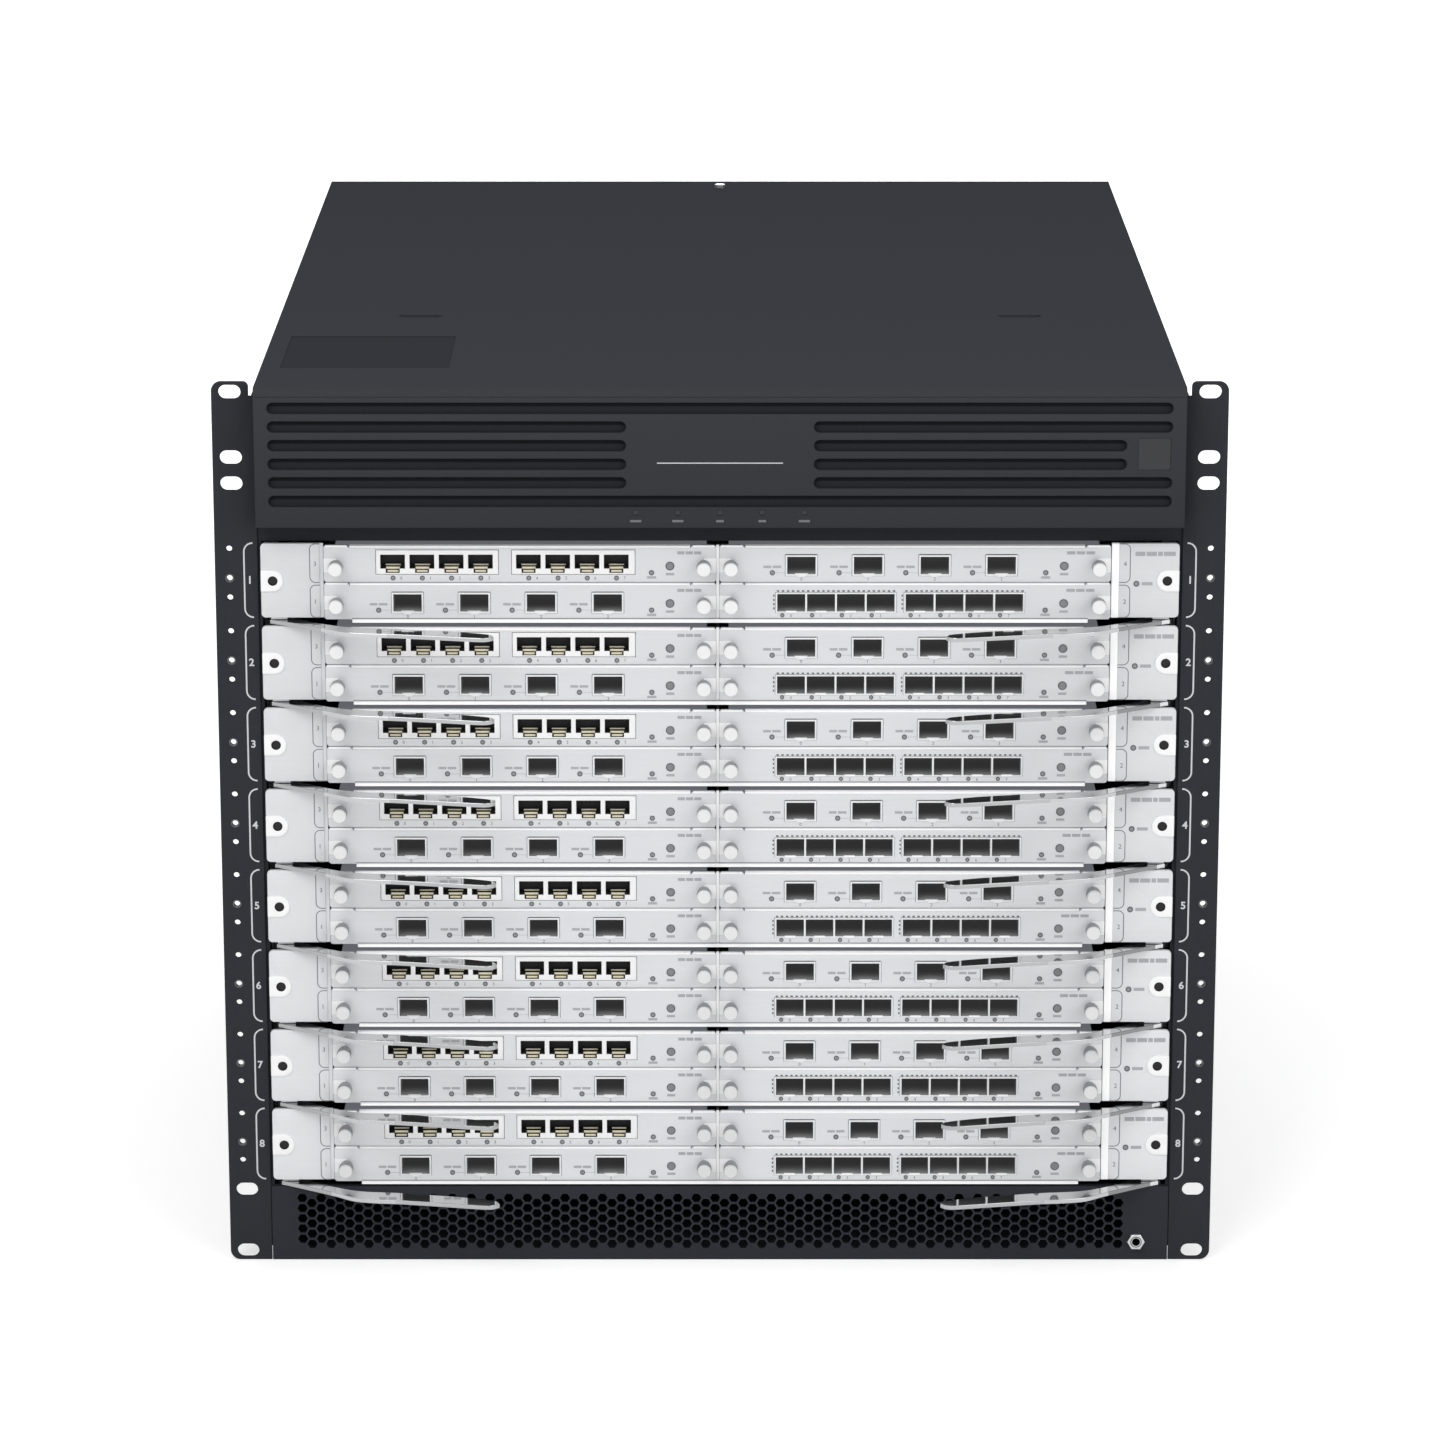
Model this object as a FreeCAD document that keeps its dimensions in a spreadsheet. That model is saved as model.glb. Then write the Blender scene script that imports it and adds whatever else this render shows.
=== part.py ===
import FreeCAD, Part
import os
import re

import Sketcher

os.makedirs("parts", exist_ok=True)
V = FreeCAD.Vector
doc = FreeCAD.newDocument("modular_core_router")

# Driving dimensions in millimetres. X runs to the right seen from the front, Y to the back from the
# front face of the rack ears, Z up from the underside of the chassis.
sheet = doc.addObject("Spreadsheet::Sheet", "Sizes")
SIZES = {
    # Rack standard and ears
    "rack_unit": 44.45,
    "rack_line_drop": 1.57,
    "rack_line_rise": 1.93,
    "rack_hole_first": 6.35,
    "rack_hole_span": 465.1,
    "rack_slot_length": 10.6,
    "rack_slot_height": 6.8,
    "ear_span": 482.6,
    "ear_rise": 0.5,
    "ear_sheet": 2.0,
    "ear_leg_depth": 38.0,
    "ear_leg_margin": 7.0,
    "ear_relief": 1.2,
    "ear_corner": 4.5,
    # Chassis
    "chassis_width": 441.0,
    "chassis_depth": 562.0,
    "chassis_height": 441.0,
    "wall": 1.5,
    "clearance": 0.3,
    "cover_flange": 12.0,
    # Front bezel
    "bezel_height": 67.6,
    "bezel_depth": 13.5,
    "bezel_round": 4.0,
    "bezel_wall": 5.0,
    "groove_pitch": 9.0,
    "groove_height": 5.3,
    "groove_depth": 3.0,
    "groove_set": 13.0,
    "groove_reach": 214.0,
    "groove_break": 44.5,
    "groove_short": 192.4,
    "window_left": 198.0,
    "window_size": 15.0,
    "window_set": 28.3,
    "window_depth": 1.0,
    "lamp_hole": 2.5,
    "lamp_spacing": 20.0,
    "lamp_set": 7.4,
    # Cover details
    "field_left": 211.0,
    "field_right": 130.0,
    "field_front": 35.0,
    "field_back": 112.0,
    "field_depth": 0.3,
    "cover_flange_set": 15.0,
    "dimple_across": 22.0,
    "dimple_depth": 1.0,
    "dimple_side": 150.0,
    "dimple_back": 162.0,
    # Slots and carriers
    "slot_low": 42.42,
    "slot_gap": 4.24,
    "header_height": 10.1,
    "plate_sheet": 2.0,
    "plate_edge": 219.3,
    "plate_left_inner": 191.2,
    "plate_right_inner": 190.6,
    "strip_inner": 187.0,
    "pad_height": 10.3,
    "pad_inner": 208.7,
    "pad_proud": 1.0,
    "pad_hole": 4.7,
    "pad_hole_side": 213.6,
    "tray_side": 216.5,
    "tray_sheet": 1.2,
    "tray_wall_side": 206.0,
    "carrier_depth": 312.0,
    "carrier_plug": 6.0,
    "lip_side": 176.0,
    "lip_drop": 2.8,
    # Levers
    "lever_top": 1.6,
    "lever_sheet": 2.0,
    "pivot_side": 211.0,
    "pivot_back": 5.0,
    "pivot_pin": 3.9,
    "pivot_play": 0.05,
    "lever_eye": 12.0,
    "knee_run": 22.6,
    "knee_out": 12.4,
    "knee_width": 8.4,
    "elbow_run": 33.8,
    "elbow_out": 19.8,
    "elbow_width": 9.6,
    "hand_run": 55.0,
    "hand_out": 22.3,
    "grip_run": 94.0,
    "grip_out": 30.3,
    "grip_width": 10.5,
    "tip_length": 10.5,
    "tip_width": 5.0,
    # Interface modules
    "module_sheet": 1.5,
    "module_drop": 0.9,
    "module_rise": 0.2,
    "module_left_outer": 189.2,
    "module_left_inner": 1.9,
    "module_right_inner": 0.3,
    "module_right_outer": 186.6,
    "module_inset": 4.5,
    "housing_slack": 2.1,
    "module_depth": 170.0,
    "divider": 1.2,
    "copper_width": 11.75,
    "copper_height": 6.8,
    "copper_pitch": 13.97,
    "copper_left": 162.1,
    "copper_gang_pitch": 64.8,
    "copper_depth": 12.0,
    "key_width": 6.6,
    "key_height": 2.1,
    "optic_width": 13.5,
    "optic_height": 8.4,
    "optic_set": 0.75,
    "optic_depth": 30.0,
    "optic_pitch": 31.9,
    "optic_left_start": 156.1,
    "optic_right_start": 32.1,
    "gang_width": 13.0,
    "gang_pitch": 14.1,
    "gang_start": 27.8,
    "gang_step": 61.4,
    "frame_rim": 1.0,
    "frame_proud": 0.8,
    "knob": 7.1,
    "knob_length": 10.0,
    "knob_level": 7.3,
    "knob_left_outer": 183.2,
    "knob_left_inner": 7.7,
    "knob_right_inner": 5.2,
    "knob_right_outer": 180.7,
    # Card guides and backplane
    "guide_front": 14.0,
    "guide_rail_depth": 6.0,
    "guide_end": 12.0,
    "guide_inner": 212.0,
    "board_sheet": 3.5,
    "plug_depth": 8.0,
    "plug_gap": 2.0,
    "rear_plug_depth": 22.5,
    "supply_plug": 50.0,
    "plug_width": 150.0,
    "plug_height": 16.0,
    # Intake
    "intake_height": 38.5,
    "hex_across": 11.4,
    "hex_rise": 15.0,
    "hex_step": 26.0,
    "hex_left": 208.0,
    "hex_low": 11.5,
    "jack_side": 204.9,
    "jack_level": 10.1,
    "jack_nut": 8.8,
    "jack_nut_height": 3.0,
    "jack_barrel": 6.0,
    "jack_bore": 4.0,
    "jack_length": 12.0,
    # Rear modules
    "rear_side": 207.0,
    "rear_panel_lap": 3.0,
    "rear_panel": 2.0,
    "rear_gap": 10.0,
    "rear_space": 8.0,
    "supply_low": 14.0,
    "supply_height": 84.0,
    "supply_inner": 3.0,
    "control_height": 38.0,
    "forward_height": 60.0,
    "fan_top": 17.0,
    "fan_frame": 26.0,
    "fan_depth": 62.0,
    "fan_spacing": 137.0,
    "fan_guard": 3.0,
    "hub_share": 0.359375,
    "chord_share": 0.265625,
    "hub_depth": 30.0,
    "rotor_back": 12.0,
    "axle": 6.0,
    "blade": 2.0,
    "blade_root": 3.0,
    "blade_tip_gap": 3.5,
    "handle_width": 60.0,
    "handle_reach": 22.0,
    "handle_bar": 8.0,
    "inlet_width": 27.0,
    "inlet_height": 20.0,
    "inlet_depth": 16.0,
    "inlet_side": 24.0,
    "vent_width": 110.0,
    "vent_slot": 4.0,
    "vent_pitch": 15.0,
    "vent_depth": 5.0,
    "service_socket": 11.75,
    "service_pitch": 16.0,
    "service_height": 8.0,
    "service_depth": 12.0,
    # Screws
    "screw_head": 6.0,
    "screw_height": 1.8,
    "screw_inset": 20.0,
    "cover_screw_first": 0.2,
    "cover_screw_step": 0.3,
    "ear_screw_first": 0.1,
    "ear_screw_step": 0.4,
    "ear_screw_set": 0.6,
    "cut_margin": 1.0,
}
for row, (word, value) in enumerate(SIZES.items(), 1):
    sheet.set(f"A{row}", word)
    sheet.set(f"B{row}", str(value))
    sheet.setAlias(f"B{row}", word)

# Sizes that follow from those above: the stack of slots and modules fills the height below the bezel,
# the rear modules reach to the backplane behind the carriers, and the fan tray takes the height that is left
FOLLOWING = {
    "ear_height": "chassis_height + ear_rise",
    "bezel_low": "chassis_height - bezel_height",
    "groove_low": "bezel_low + groove_set",
    "window_low": "bezel_low + window_set",
    "lamp_level": "bezel_low + lamp_set",
    "slot_pitch": "(bezel_low - header_height - slot_low + slot_gap) / 8",
    "plate_height": "slot_pitch - slot_gap",
    "pad_level": "plate_height / 2",
    "tray_wall_height": "plate_height - 2 * tray_sheet",
    "module_pitch": "plate_height / 2 + module_rise",
    "module_height": "module_pitch - clearance",
    "housing_height": "module_height - housing_slack",
    "copper_low": "module_pitch - module_drop + (module_height - copper_height + key_height) / 2",
    "optic_low": "(module_height - optic_height) / 2 - module_drop - optic_set",
    "guide_depth": "carrier_depth - guide_end",
    "board_front": "carrier_depth + carrier_plug + plug_gap + plug_depth",
    "rear_depth": "chassis_depth - board_front - board_sheet - rear_plug_depth",
    "control_low": "supply_low + supply_height + rear_gap",
    "control_pitch": "control_height + rear_space",
    "forward_low": "control_low + 2 * control_pitch",
    "fan_low": "forward_low + forward_height + rear_gap",
    "fan_height": "chassis_height - fan_top - fan_low",
    "fan_bore": "fan_height - fan_frame",
    "hub": "fan_bore * hub_share",
    "blade_chord": "fan_bore * chord_share",
}
for row, (word, rule) in enumerate(FOLLOWING.items(), len(SIZES) + 1):
    sheet.set(f"A{row}", word)
    sheet.set(f"B{row}", "=" + rule)
    sheet.setAlias(f"B{row}", word)
doc.recompute()
WORDS = re.compile(r"\b(" + "|".join(sorted([*SIZES, *FOLLOWING], key=len, reverse=True)) + r")\b")
SLOTS = 8
FANS = 3
BLADES = 7
BLADE_PITCH = 40
nodes = []


def qualified(text):
    return WORDS.sub(r"Sizes.\1", text)


def bind(thing, **sizes):
    for name, text in sizes.items():
        thing.setExpression(name.replace("__", "."), qualified(text))
    return thing


def place(thing, x="0", y="0", z="0"):
    return bind(thing, Placement__Base__x=x, Placement__Base__y=y, Placement__Base__z=z)


def keep(thing, label, z="0"):
    # The frame's origin is the centre of the chassis underside, half its depth behind the ears.
    thing.Label = label
    place(thing, y="-chassis_depth / 2", z=z)
    nodes.append(thing)
    return thing


# Part primitives, each size bound to the sheet
def box(name, x, y, z):
    made = doc.addObject("Part::Box", name)
    bind(made, Length=f"({x[1]}) - ({x[0]})", Width=f"({y[1]}) - ({y[0]})", Height=f"({z[1]}) - ({z[0]})")
    return place(made, x[0], y[0], z[0])


def rod(name, diameter, length, at, direction):
    made = doc.addObject("Part::Cylinder", name)
    bind(made, Radius=f"({diameter}) / 2", Height=length)
    made.Placement.Rotation = FreeCAD.Rotation(V(0, 0, 1), direction)
    return place(made, *at)


def prism(name, sides, across, length, at, direction):
    made = doc.addObject("Part::Prism", name)
    made.Polygon = sides
    bind(made, Circumradius=f"({across}) / 2", Height=length)
    made.Placement.Rotation = FreeCAD.Rotation(V(0, 0, 1), direction)
    return place(made, *at)


def fuse(name, *things):
    made = doc.addObject("Part::MultiFuse", name)
    made.Shapes = list(things)
    made.Refine = True
    return made


def cut(name, base, *tools):
    made = doc.addObject("Part::Cut", name)
    made.Base = base
    made.Tool = tools[0] if len(tools) == 1 else group(name + "_tools", *tools)
    made.Refine = True
    return made


def group(name, *things):
    made = doc.addObject("Part::Compound", name)
    made.Links = list(things)
    return made


def mirror(name, source):
    made = doc.addObject("Part::Mirroring", name)
    made.Source = source
    made.Normal = V(1, 0, 0)
    return made


# Sketched bodies
def new_body(name):
    return doc.addObject("PartDesign::Body", name)


def sketch(body, name, role, offset="0"):
    plane = next(item for item in body.Origin.OriginFeatures if item.Role == role)
    drawn = body.newObject("Sketcher::SketchObject", name)
    drawn.AttachmentSupport = [(plane, "")]
    drawn.MapMode = "FlatFace"
    bind(drawn, AttachmentOffset__Base__z=offset)
    return drawn


def number(text):
    return float(sheet.evalExpression(qualified(text)))


def fix(drawn, kind, text, *where):
    index = drawn.addConstraint(Sketcher.Constraint(kind, *where, number(text)))
    drawn.setExpression(f"Constraints[{index}]", qualified(text))


def outline(drawn, points):
    first = drawn.GeometryCount
    places = [V(number(a), number(b), 0) for a, b in points]
    total = len(points)
    for i in range(total):
        drawn.addGeometry(Part.LineSegment(places[i], places[(i + 1) % total]), False)
    for i in range(total):
        here = first + i
        drawn.addConstraint(Sketcher.Constraint("Coincident", here, 2, first + (i + 1) % total, 1))
        fix(drawn, "DistanceX", points[i][0], -1, 1, here, 1)
        fix(drawn, "DistanceY", points[i][1], -1, 1, here, 1)


def rectangle(drawn, a, b):
    outline(drawn, [(a[0], b[0]), (a[1], b[0]), (a[1], b[1]), (a[0], b[1])])


def circle(drawn, a, b, diameter):
    centre = V(number(a), number(b), 0)
    here = drawn.addGeometry(Part.Circle(centre, V(0, 0, 1), number(diameter) / 2), False)
    fix(drawn, "Diameter", diameter, here)
    fix(drawn, "DistanceX", a, -1, 1, here, 3)
    fix(drawn, "DistanceY", b, -1, 1, here, 3)


def polygon(drawn, x, level, across, sides, turn=0):
    # Across is from corner to corner, and turn is where the first corner stands, in degrees
    corners = [turn + 360 * k / sides for k in range(sides)]
    outline(drawn, [(f"{x} + {across} / 2 * cos({a})", f"{level} + {across} / 2 * sin({a})")
                    for a in corners])


def obround(drawn, left, right, level, height):
    # Two straight sides and two half-round ends
    x0, x1 = f"({left}) + ({height}) / 2", f"({right}) - ({height}) / 2"
    a, b, mid, r = number(x0), number(x1), number(level), number(height) / 2
    first = drawn.GeometryCount
    up, out = V(0, r, 0), V(r, 0, 0)
    start, end = V(a, mid, 0), V(b, mid, 0)
    drawn.addGeometry(Part.LineSegment(start - up, end - up), False)
    drawn.addGeometry(Part.Arc(end - up, end + out, end + up), False)
    drawn.addGeometry(Part.LineSegment(end + up, start + up), False)
    drawn.addGeometry(Part.Arc(start + up, start - out, start - up), False)
    for i in range(4):
        drawn.addConstraint(Sketcher.Constraint("Tangent", first + i, 2, first + (i + 1) % 4, 1))
    fix(drawn, "Radius", f"({height}) / 2", first + 1)
    fix(drawn, "DistanceX", x1, -1, 1, first + 1, 3)
    fix(drawn, "DistanceY", level, -1, 1, first + 1, 3)
    fix(drawn, "DistanceX", x0, -1, 1, first + 3, 3)
    drawn.addConstraint(Sketcher.Constraint("Horizontal", first))


def groove_outline(drawn, left, right, level, height):
    # Two straight sides and two ends of three chords each
    turns = range(-90, 91, 60)
    ends = [(f"{right} - {height} / 2 + {height} / 2 * cos({a})", f"{level} + {height} / 2 * sin({a})")
            for a in turns]
    ends += [(f"{left} + {height} / 2 - {height} / 2 * cos({a})", f"{level} - {height} / 2 * sin({a})")
             for a in turns]
    outline(drawn, ends)


def pad(body, drawn, length, backwards=False):
    made = body.newObject("PartDesign::Pad", drawn.Name + "_pad")
    made.Profile = drawn
    made.Reversed = backwards
    return bind(made, Length=length)


def pocket(body, drawn, depth):
    # From a sketch on the front plane the cut runs to the back, and it must take something away
    before = body.Shape.Volume
    made = body.newObject("PartDesign::Pocket", drawn.Name + "_pocket")
    made.Profile = drawn
    bind(made, Length=depth)
    doc.recompute()
    if body.Shape.Volume >= before:
        raise ValueError(drawn.Name + " cuts nothing")
    return made


def repeat(body, feature, axis, span, count, second=None):
    made = body.newObject("PartDesign::LinearPattern", feature.Name + "_row")
    made.Originals = [feature]
    made.Direction = (feature.Profile[0], [axis])
    bind(made, Length=span)
    made.Occurrences = count
    if second:
        made.Direction2 = (feature.Profile[0], ["V_Axis"])
        bind(made, Length2=second[0])
        made.Occurrences2 = second[1]
    body.Tip = made
    return made


def front_block(body, name, x, y, z):
    # A rectangular block of a body, drawn on the front plane and padded to the back
    drawn = sketch(body, name, "XZ_Plane", f"-({y[0]})")
    rectangle(drawn, x, z)
    return pad(body, drawn, f"({y[1]}) - ({y[0]})", True)


def round_edges(body, name, radius, wanted):
    doc.recompute()
    shape = body.Shape
    picked = [f"Edge{i}" for i, edge in enumerate(shape.Edges, 1) if wanted(edge.BoundBox)]
    made = body.newObject("PartDesign::Fillet", name)
    made.Base = (made.BaseFeature, picked)
    bind(made, Radius=radius)
    return made


half_width = "chassis_width / 2"
inner_side = "chassis_width / 2 - wall"
bay_high = "slot_low + 7 * slot_pitch + plate_height + 2 * clearance"


# Chassis shell: base sheet and two side sheets, the header above the slots, and the rear frame's bars,
# spot-welded edge to edge
def make_shell():
    across = f"-({inner_side})", inner_side
    top = "chassis_height - wall"
    pieces = [box("shell_base", (f"-{half_width}", half_width), ("wall", "chassis_depth"), ("0", "wall"))]
    for side, x in (("left", (f"-{half_width}", across[0])), ("right", (inner_side, half_width))):
        pieces.append(box("shell_side_" + side, x, ("wall", "chassis_depth"), ("wall", top)))
    pieces.append(box("shell_header", across, ("wall", "2 * wall"), (bay_high, top)))
    pieces.append(box("shell_sill", across, ("wall", "2 * wall"), ("intake_height - wall", "intake_height")))
    rear = "chassis_depth - wall", "chassis_depth"
    edge = "rear_side + clearance"
    for side, x in (("left", (across[0], f"-({edge})")), ("right", (edge, inner_side))):
        pieces.append(box("rear_upright_" + side, x, rear, ("wall", top)))
    bays = (("supply_low", "supply_height"), ("control_low", "control_height"),
            ("control_low + control_pitch", "control_height"), ("forward_low", "forward_height"),
            ("fan_low", "fan_height"))
    lows = ["wall"] + [f"{low} + {height} + clearance" for low, height in bays]
    highs = [f"{low} - clearance" for low, height in bays] + [top]
    stops = list(zip(lows, highs))
    for n, z in enumerate(stops, 1):
        pieces.append(box(f"rear_bar_{n}", (f"-({edge})", edge), rear, z))
    pieces.append(box("rear_middle", ("clearance - supply_inner", "supply_inner - clearance"), rear,
                      (stops[0][1], stops[1][0])))
    keep(group("shell", *pieces), "chassis_shell")


# Top cover: a sheet whose folded flanges drop inside the walls, with a shallow bare label field and
# two pressed finger dimples
def make_cover():
    top = box("cover_top", (f"-{half_width}", half_width), ("wall", "chassis_depth"),
              ("chassis_height - wall", "chassis_height"))
    flanges = []
    for side, low, high in (("left", f"-({inner_side})", f"-({inner_side}) + wall"),
                            ("right", f"{inner_side} - wall", inner_side)):
        along = "cover_flange_set", "chassis_depth - cover_flange_set"
        flanges.append(box("cover_flange_" + side, (low, high), along,
                           ("chassis_height - wall - cover_flange", "chassis_height - wall")))
    field = box("cover_field", ("-field_left", "-field_right"), ("field_front", "field_back"),
                ("chassis_height - field_depth", "chassis_height + cut_margin"))
    dimples = []
    for side, x in (("left", "-dimple_side"), ("right", "dimple_side")):
        disc = rod("dimple_disc_" + side, "dimple_across", "dimple_depth + cut_margin",
                   (x, "dimple_back + dimple_across / 4", "chassis_height - dimple_depth"), V(0, 0, 1))
        straight = box("dimple_edge_" + side, (f"{x} - dimple_across", f"{x} + dimple_across"),
                       ("dimple_back - dimple_across", "dimple_back + dimple_across / 4"),
                       ("chassis_height - dimple_depth", "chassis_height + 2 * cut_margin"))
        half = doc.addObject("Part::Common", "dimple_" + side)
        half.Base = disc
        half.Tool = straight
        dimples.append(half)
    keep(cut("cover", fuse("cover_sheet", top, *flanges), field, *dimples), "top_cover")


# Front bezel: a moulded hood with six rows of blind louvre grooves, a square window and five lamp holes
def make_bezel():
    body = new_body("bezel")
    front = "-bezel_depth"
    front_block(body, "bezel_block", (f"-{half_width}", half_width), (front, "wall"),
                ("bezel_low", "chassis_height"))
    round_edges(body, "bezel_brow", "bezel_round",
                lambda b: b.XLength > 100 and b.YMax < -1 and b.ZMin > number("bezel_low") + 1)
    doc.recompute()
    hollow = sketch(body, "bezel_hollow", "XZ_Plane", "bezel_depth - bezel_wall")
    rectangle(hollow, (f"-({half_width} - bezel_wall)", f"{half_width} - bezel_wall"),
              ("bezel_low + bezel_wall", "chassis_height - bezel_wall"))
    pocket(body, hollow, "bezel_depth + wall")
    grooves = (("long", "-groove_reach", "groove_reach", "groove_low", 5, 2),
               ("left", "-groove_reach", "-groove_break", "groove_low + groove_pitch", 3, 4),
               ("right", "groove_break", "groove_reach", "groove_low + groove_pitch", 3, 2),
               ("short", "groove_break", "groove_short", "groove_low + 2 * groove_pitch", 1, 2))
    for name, left, right, level, steps, count in grooves:
        drawn = sketch(body, "groove_" + name, "XZ_Plane", "bezel_depth")
        groove_outline(drawn, left, right, level, "groove_height")
        repeat(body, pocket(body, drawn, "groove_depth"), "V_Axis", f"{steps} * groove_pitch", count)
        doc.recompute()
    window = sketch(body, "window", "XZ_Plane", "bezel_depth")
    rectangle(window, ("window_left", "window_left + window_size"), ("window_low", "window_low + window_size"))
    pocket(body, window, "window_depth")
    lamp = sketch(body, "lamp", "XZ_Plane", "bezel_depth")
    polygon(lamp, "-2 * lamp_spacing", "lamp_level", "lamp_hole", 6)
    repeat(body, pocket(body, lamp, "groove_depth"), "H_Axis", "4 * lamp_spacing", 5)
    keep(body, "front_bezel")


# Rack ears: folded brackets with a slotted flange and a leg screwed to the chassis side
def rack_levels():
    foot = "rack_hole_first - rack_line_drop"
    top = "chassis_height + rack_line_rise"
    return [foot, f"rack_unit - 2 * rack_hole_first + {foot}",
            f"{top} - rack_unit - rack_hole_first", f"{top} - rack_unit + rack_hole_first", f"{top} - rack_hole_first"]


def make_ears():
    body = new_body("ear")
    flange = sketch(body, "ear_flange", "XZ_Plane", "0")
    rectangle(flange, (half_width, "ear_span / 2"), ("0", "ear_height"))
    pad(body, flange, "ear_sheet", True)
    round_edges(body, "ear_corners", "ear_corner",
                lambda b: b.YLength > 1 and b.XMin > 230 and b.XLength < 0.01 and b.ZLength < 0.01)
    leg = sketch(body, "ear_leg", "XZ_Plane", "0")
    rectangle(leg, (half_width, f"{half_width} + ear_sheet"), ("ear_leg_margin", "ear_height - ear_leg_margin"))
    pad(body, leg, "ear_leg_depth", True)
    doc.recompute()
    relief = sketch(body, "ear_relief_notch", "XZ_Plane", "0")
    rectangle(relief, (half_width, f"{half_width} + ear_sheet + ear_relief"),
              ("ear_height - ear_leg_margin", "ear_height + cut_margin"))
    pocket(body, relief, "ear_sheet")
    slots = sketch(body, "rack_slots", "XZ_Plane", "0")
    for level in rack_levels():
        obround(slots, "rack_hole_span / 2 - rack_slot_length / 2",
                "rack_hole_span / 2 + rack_slot_length / 2", level, "rack_slot_height")
    pocket(body, slots, "ear_sheet")
    keep(body, "rack_ear_right")
    left = mirror("ear_mirrored", body)
    left.Label = "rack_ear_left"
    nodes.append(left)


# Intake panel: perforated sheet in staggered hexagons, with a round hole for the ground jack
def make_intake():
    body = new_body("intake")
    front_block(body, "intake_sheet", (f"-{half_width}", half_width), ("0", "wall"),
                ("0", "intake_height - clearance"))
    doc.recompute()
    for name, x, level, rows, columns in (("a", "-hex_left", "hex_low", 2, 16),
                                          ("b", "-hex_left + hex_step / 2", "hex_low + hex_rise / 2", 1, 15)):
        drawn = sketch(body, "hex_" + name, "XZ_Plane", "0")
        polygon(drawn, x, level, "hex_across / cos(30)", 6)
        repeat(body, pocket(body, drawn, "wall"), "H_Axis", f"{columns - 1} * hex_step", columns,
               (f"{rows - 1} * hex_rise", rows))
        doc.recompute()
    hole = sketch(body, "jack_hole", "XZ_Plane", "0")
    circle(hole, "jack_side", "jack_level", "jack_barrel")
    pocket(body, hole, "wall")
    keep(body, "intake_panel")


# Ground jack: a socket bored in a twelve-sided barrel, held by a hexagon nut on the panel's face
def make_jack():
    nut = prism("jack_nut_hexagon", 6, "jack_nut", "jack_nut_height", ("jack_side", "0", "jack_level"),
                V(0, -1, 0))
    barrel = prism("jack_barrel_solid", 12, "jack_barrel", "jack_length + jack_nut_height",
                   ("jack_side", "-jack_nut_height", "jack_level"), V(0, 1, 0))
    bore = rod("jack_bore_drilled", "jack_bore", "jack_length + jack_nut_height - wall",
               ("jack_side", "-jack_nut_height", "jack_level"), V(0, 1, 0))
    keep(cut("jack", fuse("jack_body", nut, barrel), bore), "ground_jack")


# Card guides: two side racks with a groove for each carrier, the cross rails between the slots and
# the shelves that the rear modules run on
def make_guides():
    pieces = []
    grooves = []
    for n in range(SLOTS):
        level = f"slot_low + {n} * slot_pitch"
        grooves.append(box(f"guide_groove_{n + 1}", ("-tray_side - clearance", "tray_side + clearance"),
                           ("0", "guide_front + guide_depth + cut_margin"),
                           (f"{level} - clearance", f"{level} + tray_sheet + clearance")))
        pieces.append(box(f"cross_rail_{n + 1}", ("-guide_inner", "guide_inner"),
                          ("guide_front", "guide_front + guide_rail_depth"),
                          (f"{level} - lever_top - lever_sheet", f"{level} - lever_top / 2")))
    for side, x in (("left", (f"-({inner_side})", "-guide_inner")), ("right", ("guide_inner", inner_side))):
        rack = box("guide_rack_" + side, x, ("guide_front", "guide_front + guide_depth"),
                   ("intake_height + wall", bay_high))
        pieces.append(cut("guide_" + side, rack, *grooves))
    for name, low in (("supply", "supply_low"), ("control_1", "control_low"),
                      ("control_2", "control_low + control_pitch"), ("forward", "forward_low"),
                      ("fan", "fan_low")):
        pieces.append(box("shelf_" + name, (f"-({inner_side})", inner_side),
                          ("chassis_depth - rear_depth", "chassis_depth - wall"),
                          (f"{low} - clearance - wall", f"{low} - clearance")))
    keep(group("guides", *pieces), "card_guides")


# Backplane: the circuit board across the middle of the chassis, with a plug for each carrier and
# for each rear module
def make_backplane():
    pieces = [box("board", (f"-({inner_side})", inner_side), ("board_front", "board_front + board_sheet"),
                  ("supply_low", bay_high))]
    for n in range(SLOTS):
        level = f"slot_low + {n} * slot_pitch + plate_height / 2"
        pieces.append(box(f"carrier_socket_{n + 1}", ("-plug_width", "plug_width"),
                          ("board_front - plug_depth", "board_front"),
                          (f"{level} - plug_height / 2", f"{level} + plug_height / 2")))
    for name, low, height in (("control_1", "control_low", "control_height"),
                              ("control_2", "control_low + control_pitch", "control_height"),
                              ("forward", "forward_low", "forward_height")):
        level = f"{low} + {height} / 2"
        pieces.append(box("rear_socket_" + name, ("-plug_width", "plug_width"),
                          ("board_front + board_sheet", f"{rear_front} - clearance"),
                          (f"{level} - plug_height / 2", f"{level} + plug_height / 2")))
    for side, x in (("left", "-rear_side / 2"), ("right", "rear_side / 2")):
        level = "supply_low + supply_height / 2"
        pieces.append(box("supply_socket_" + side, (f"{x} - supply_plug", f"{x} + supply_plug"),
                          ("board_front + board_sheet", f"{rear_front} - clearance"),
                          (f"{level} - plug_height / 2", f"{level} + plug_height / 2")))
    keep(group("backplane_group", *pieces), "backplane")


rear_front = "chassis_depth - rear_depth"


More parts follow.
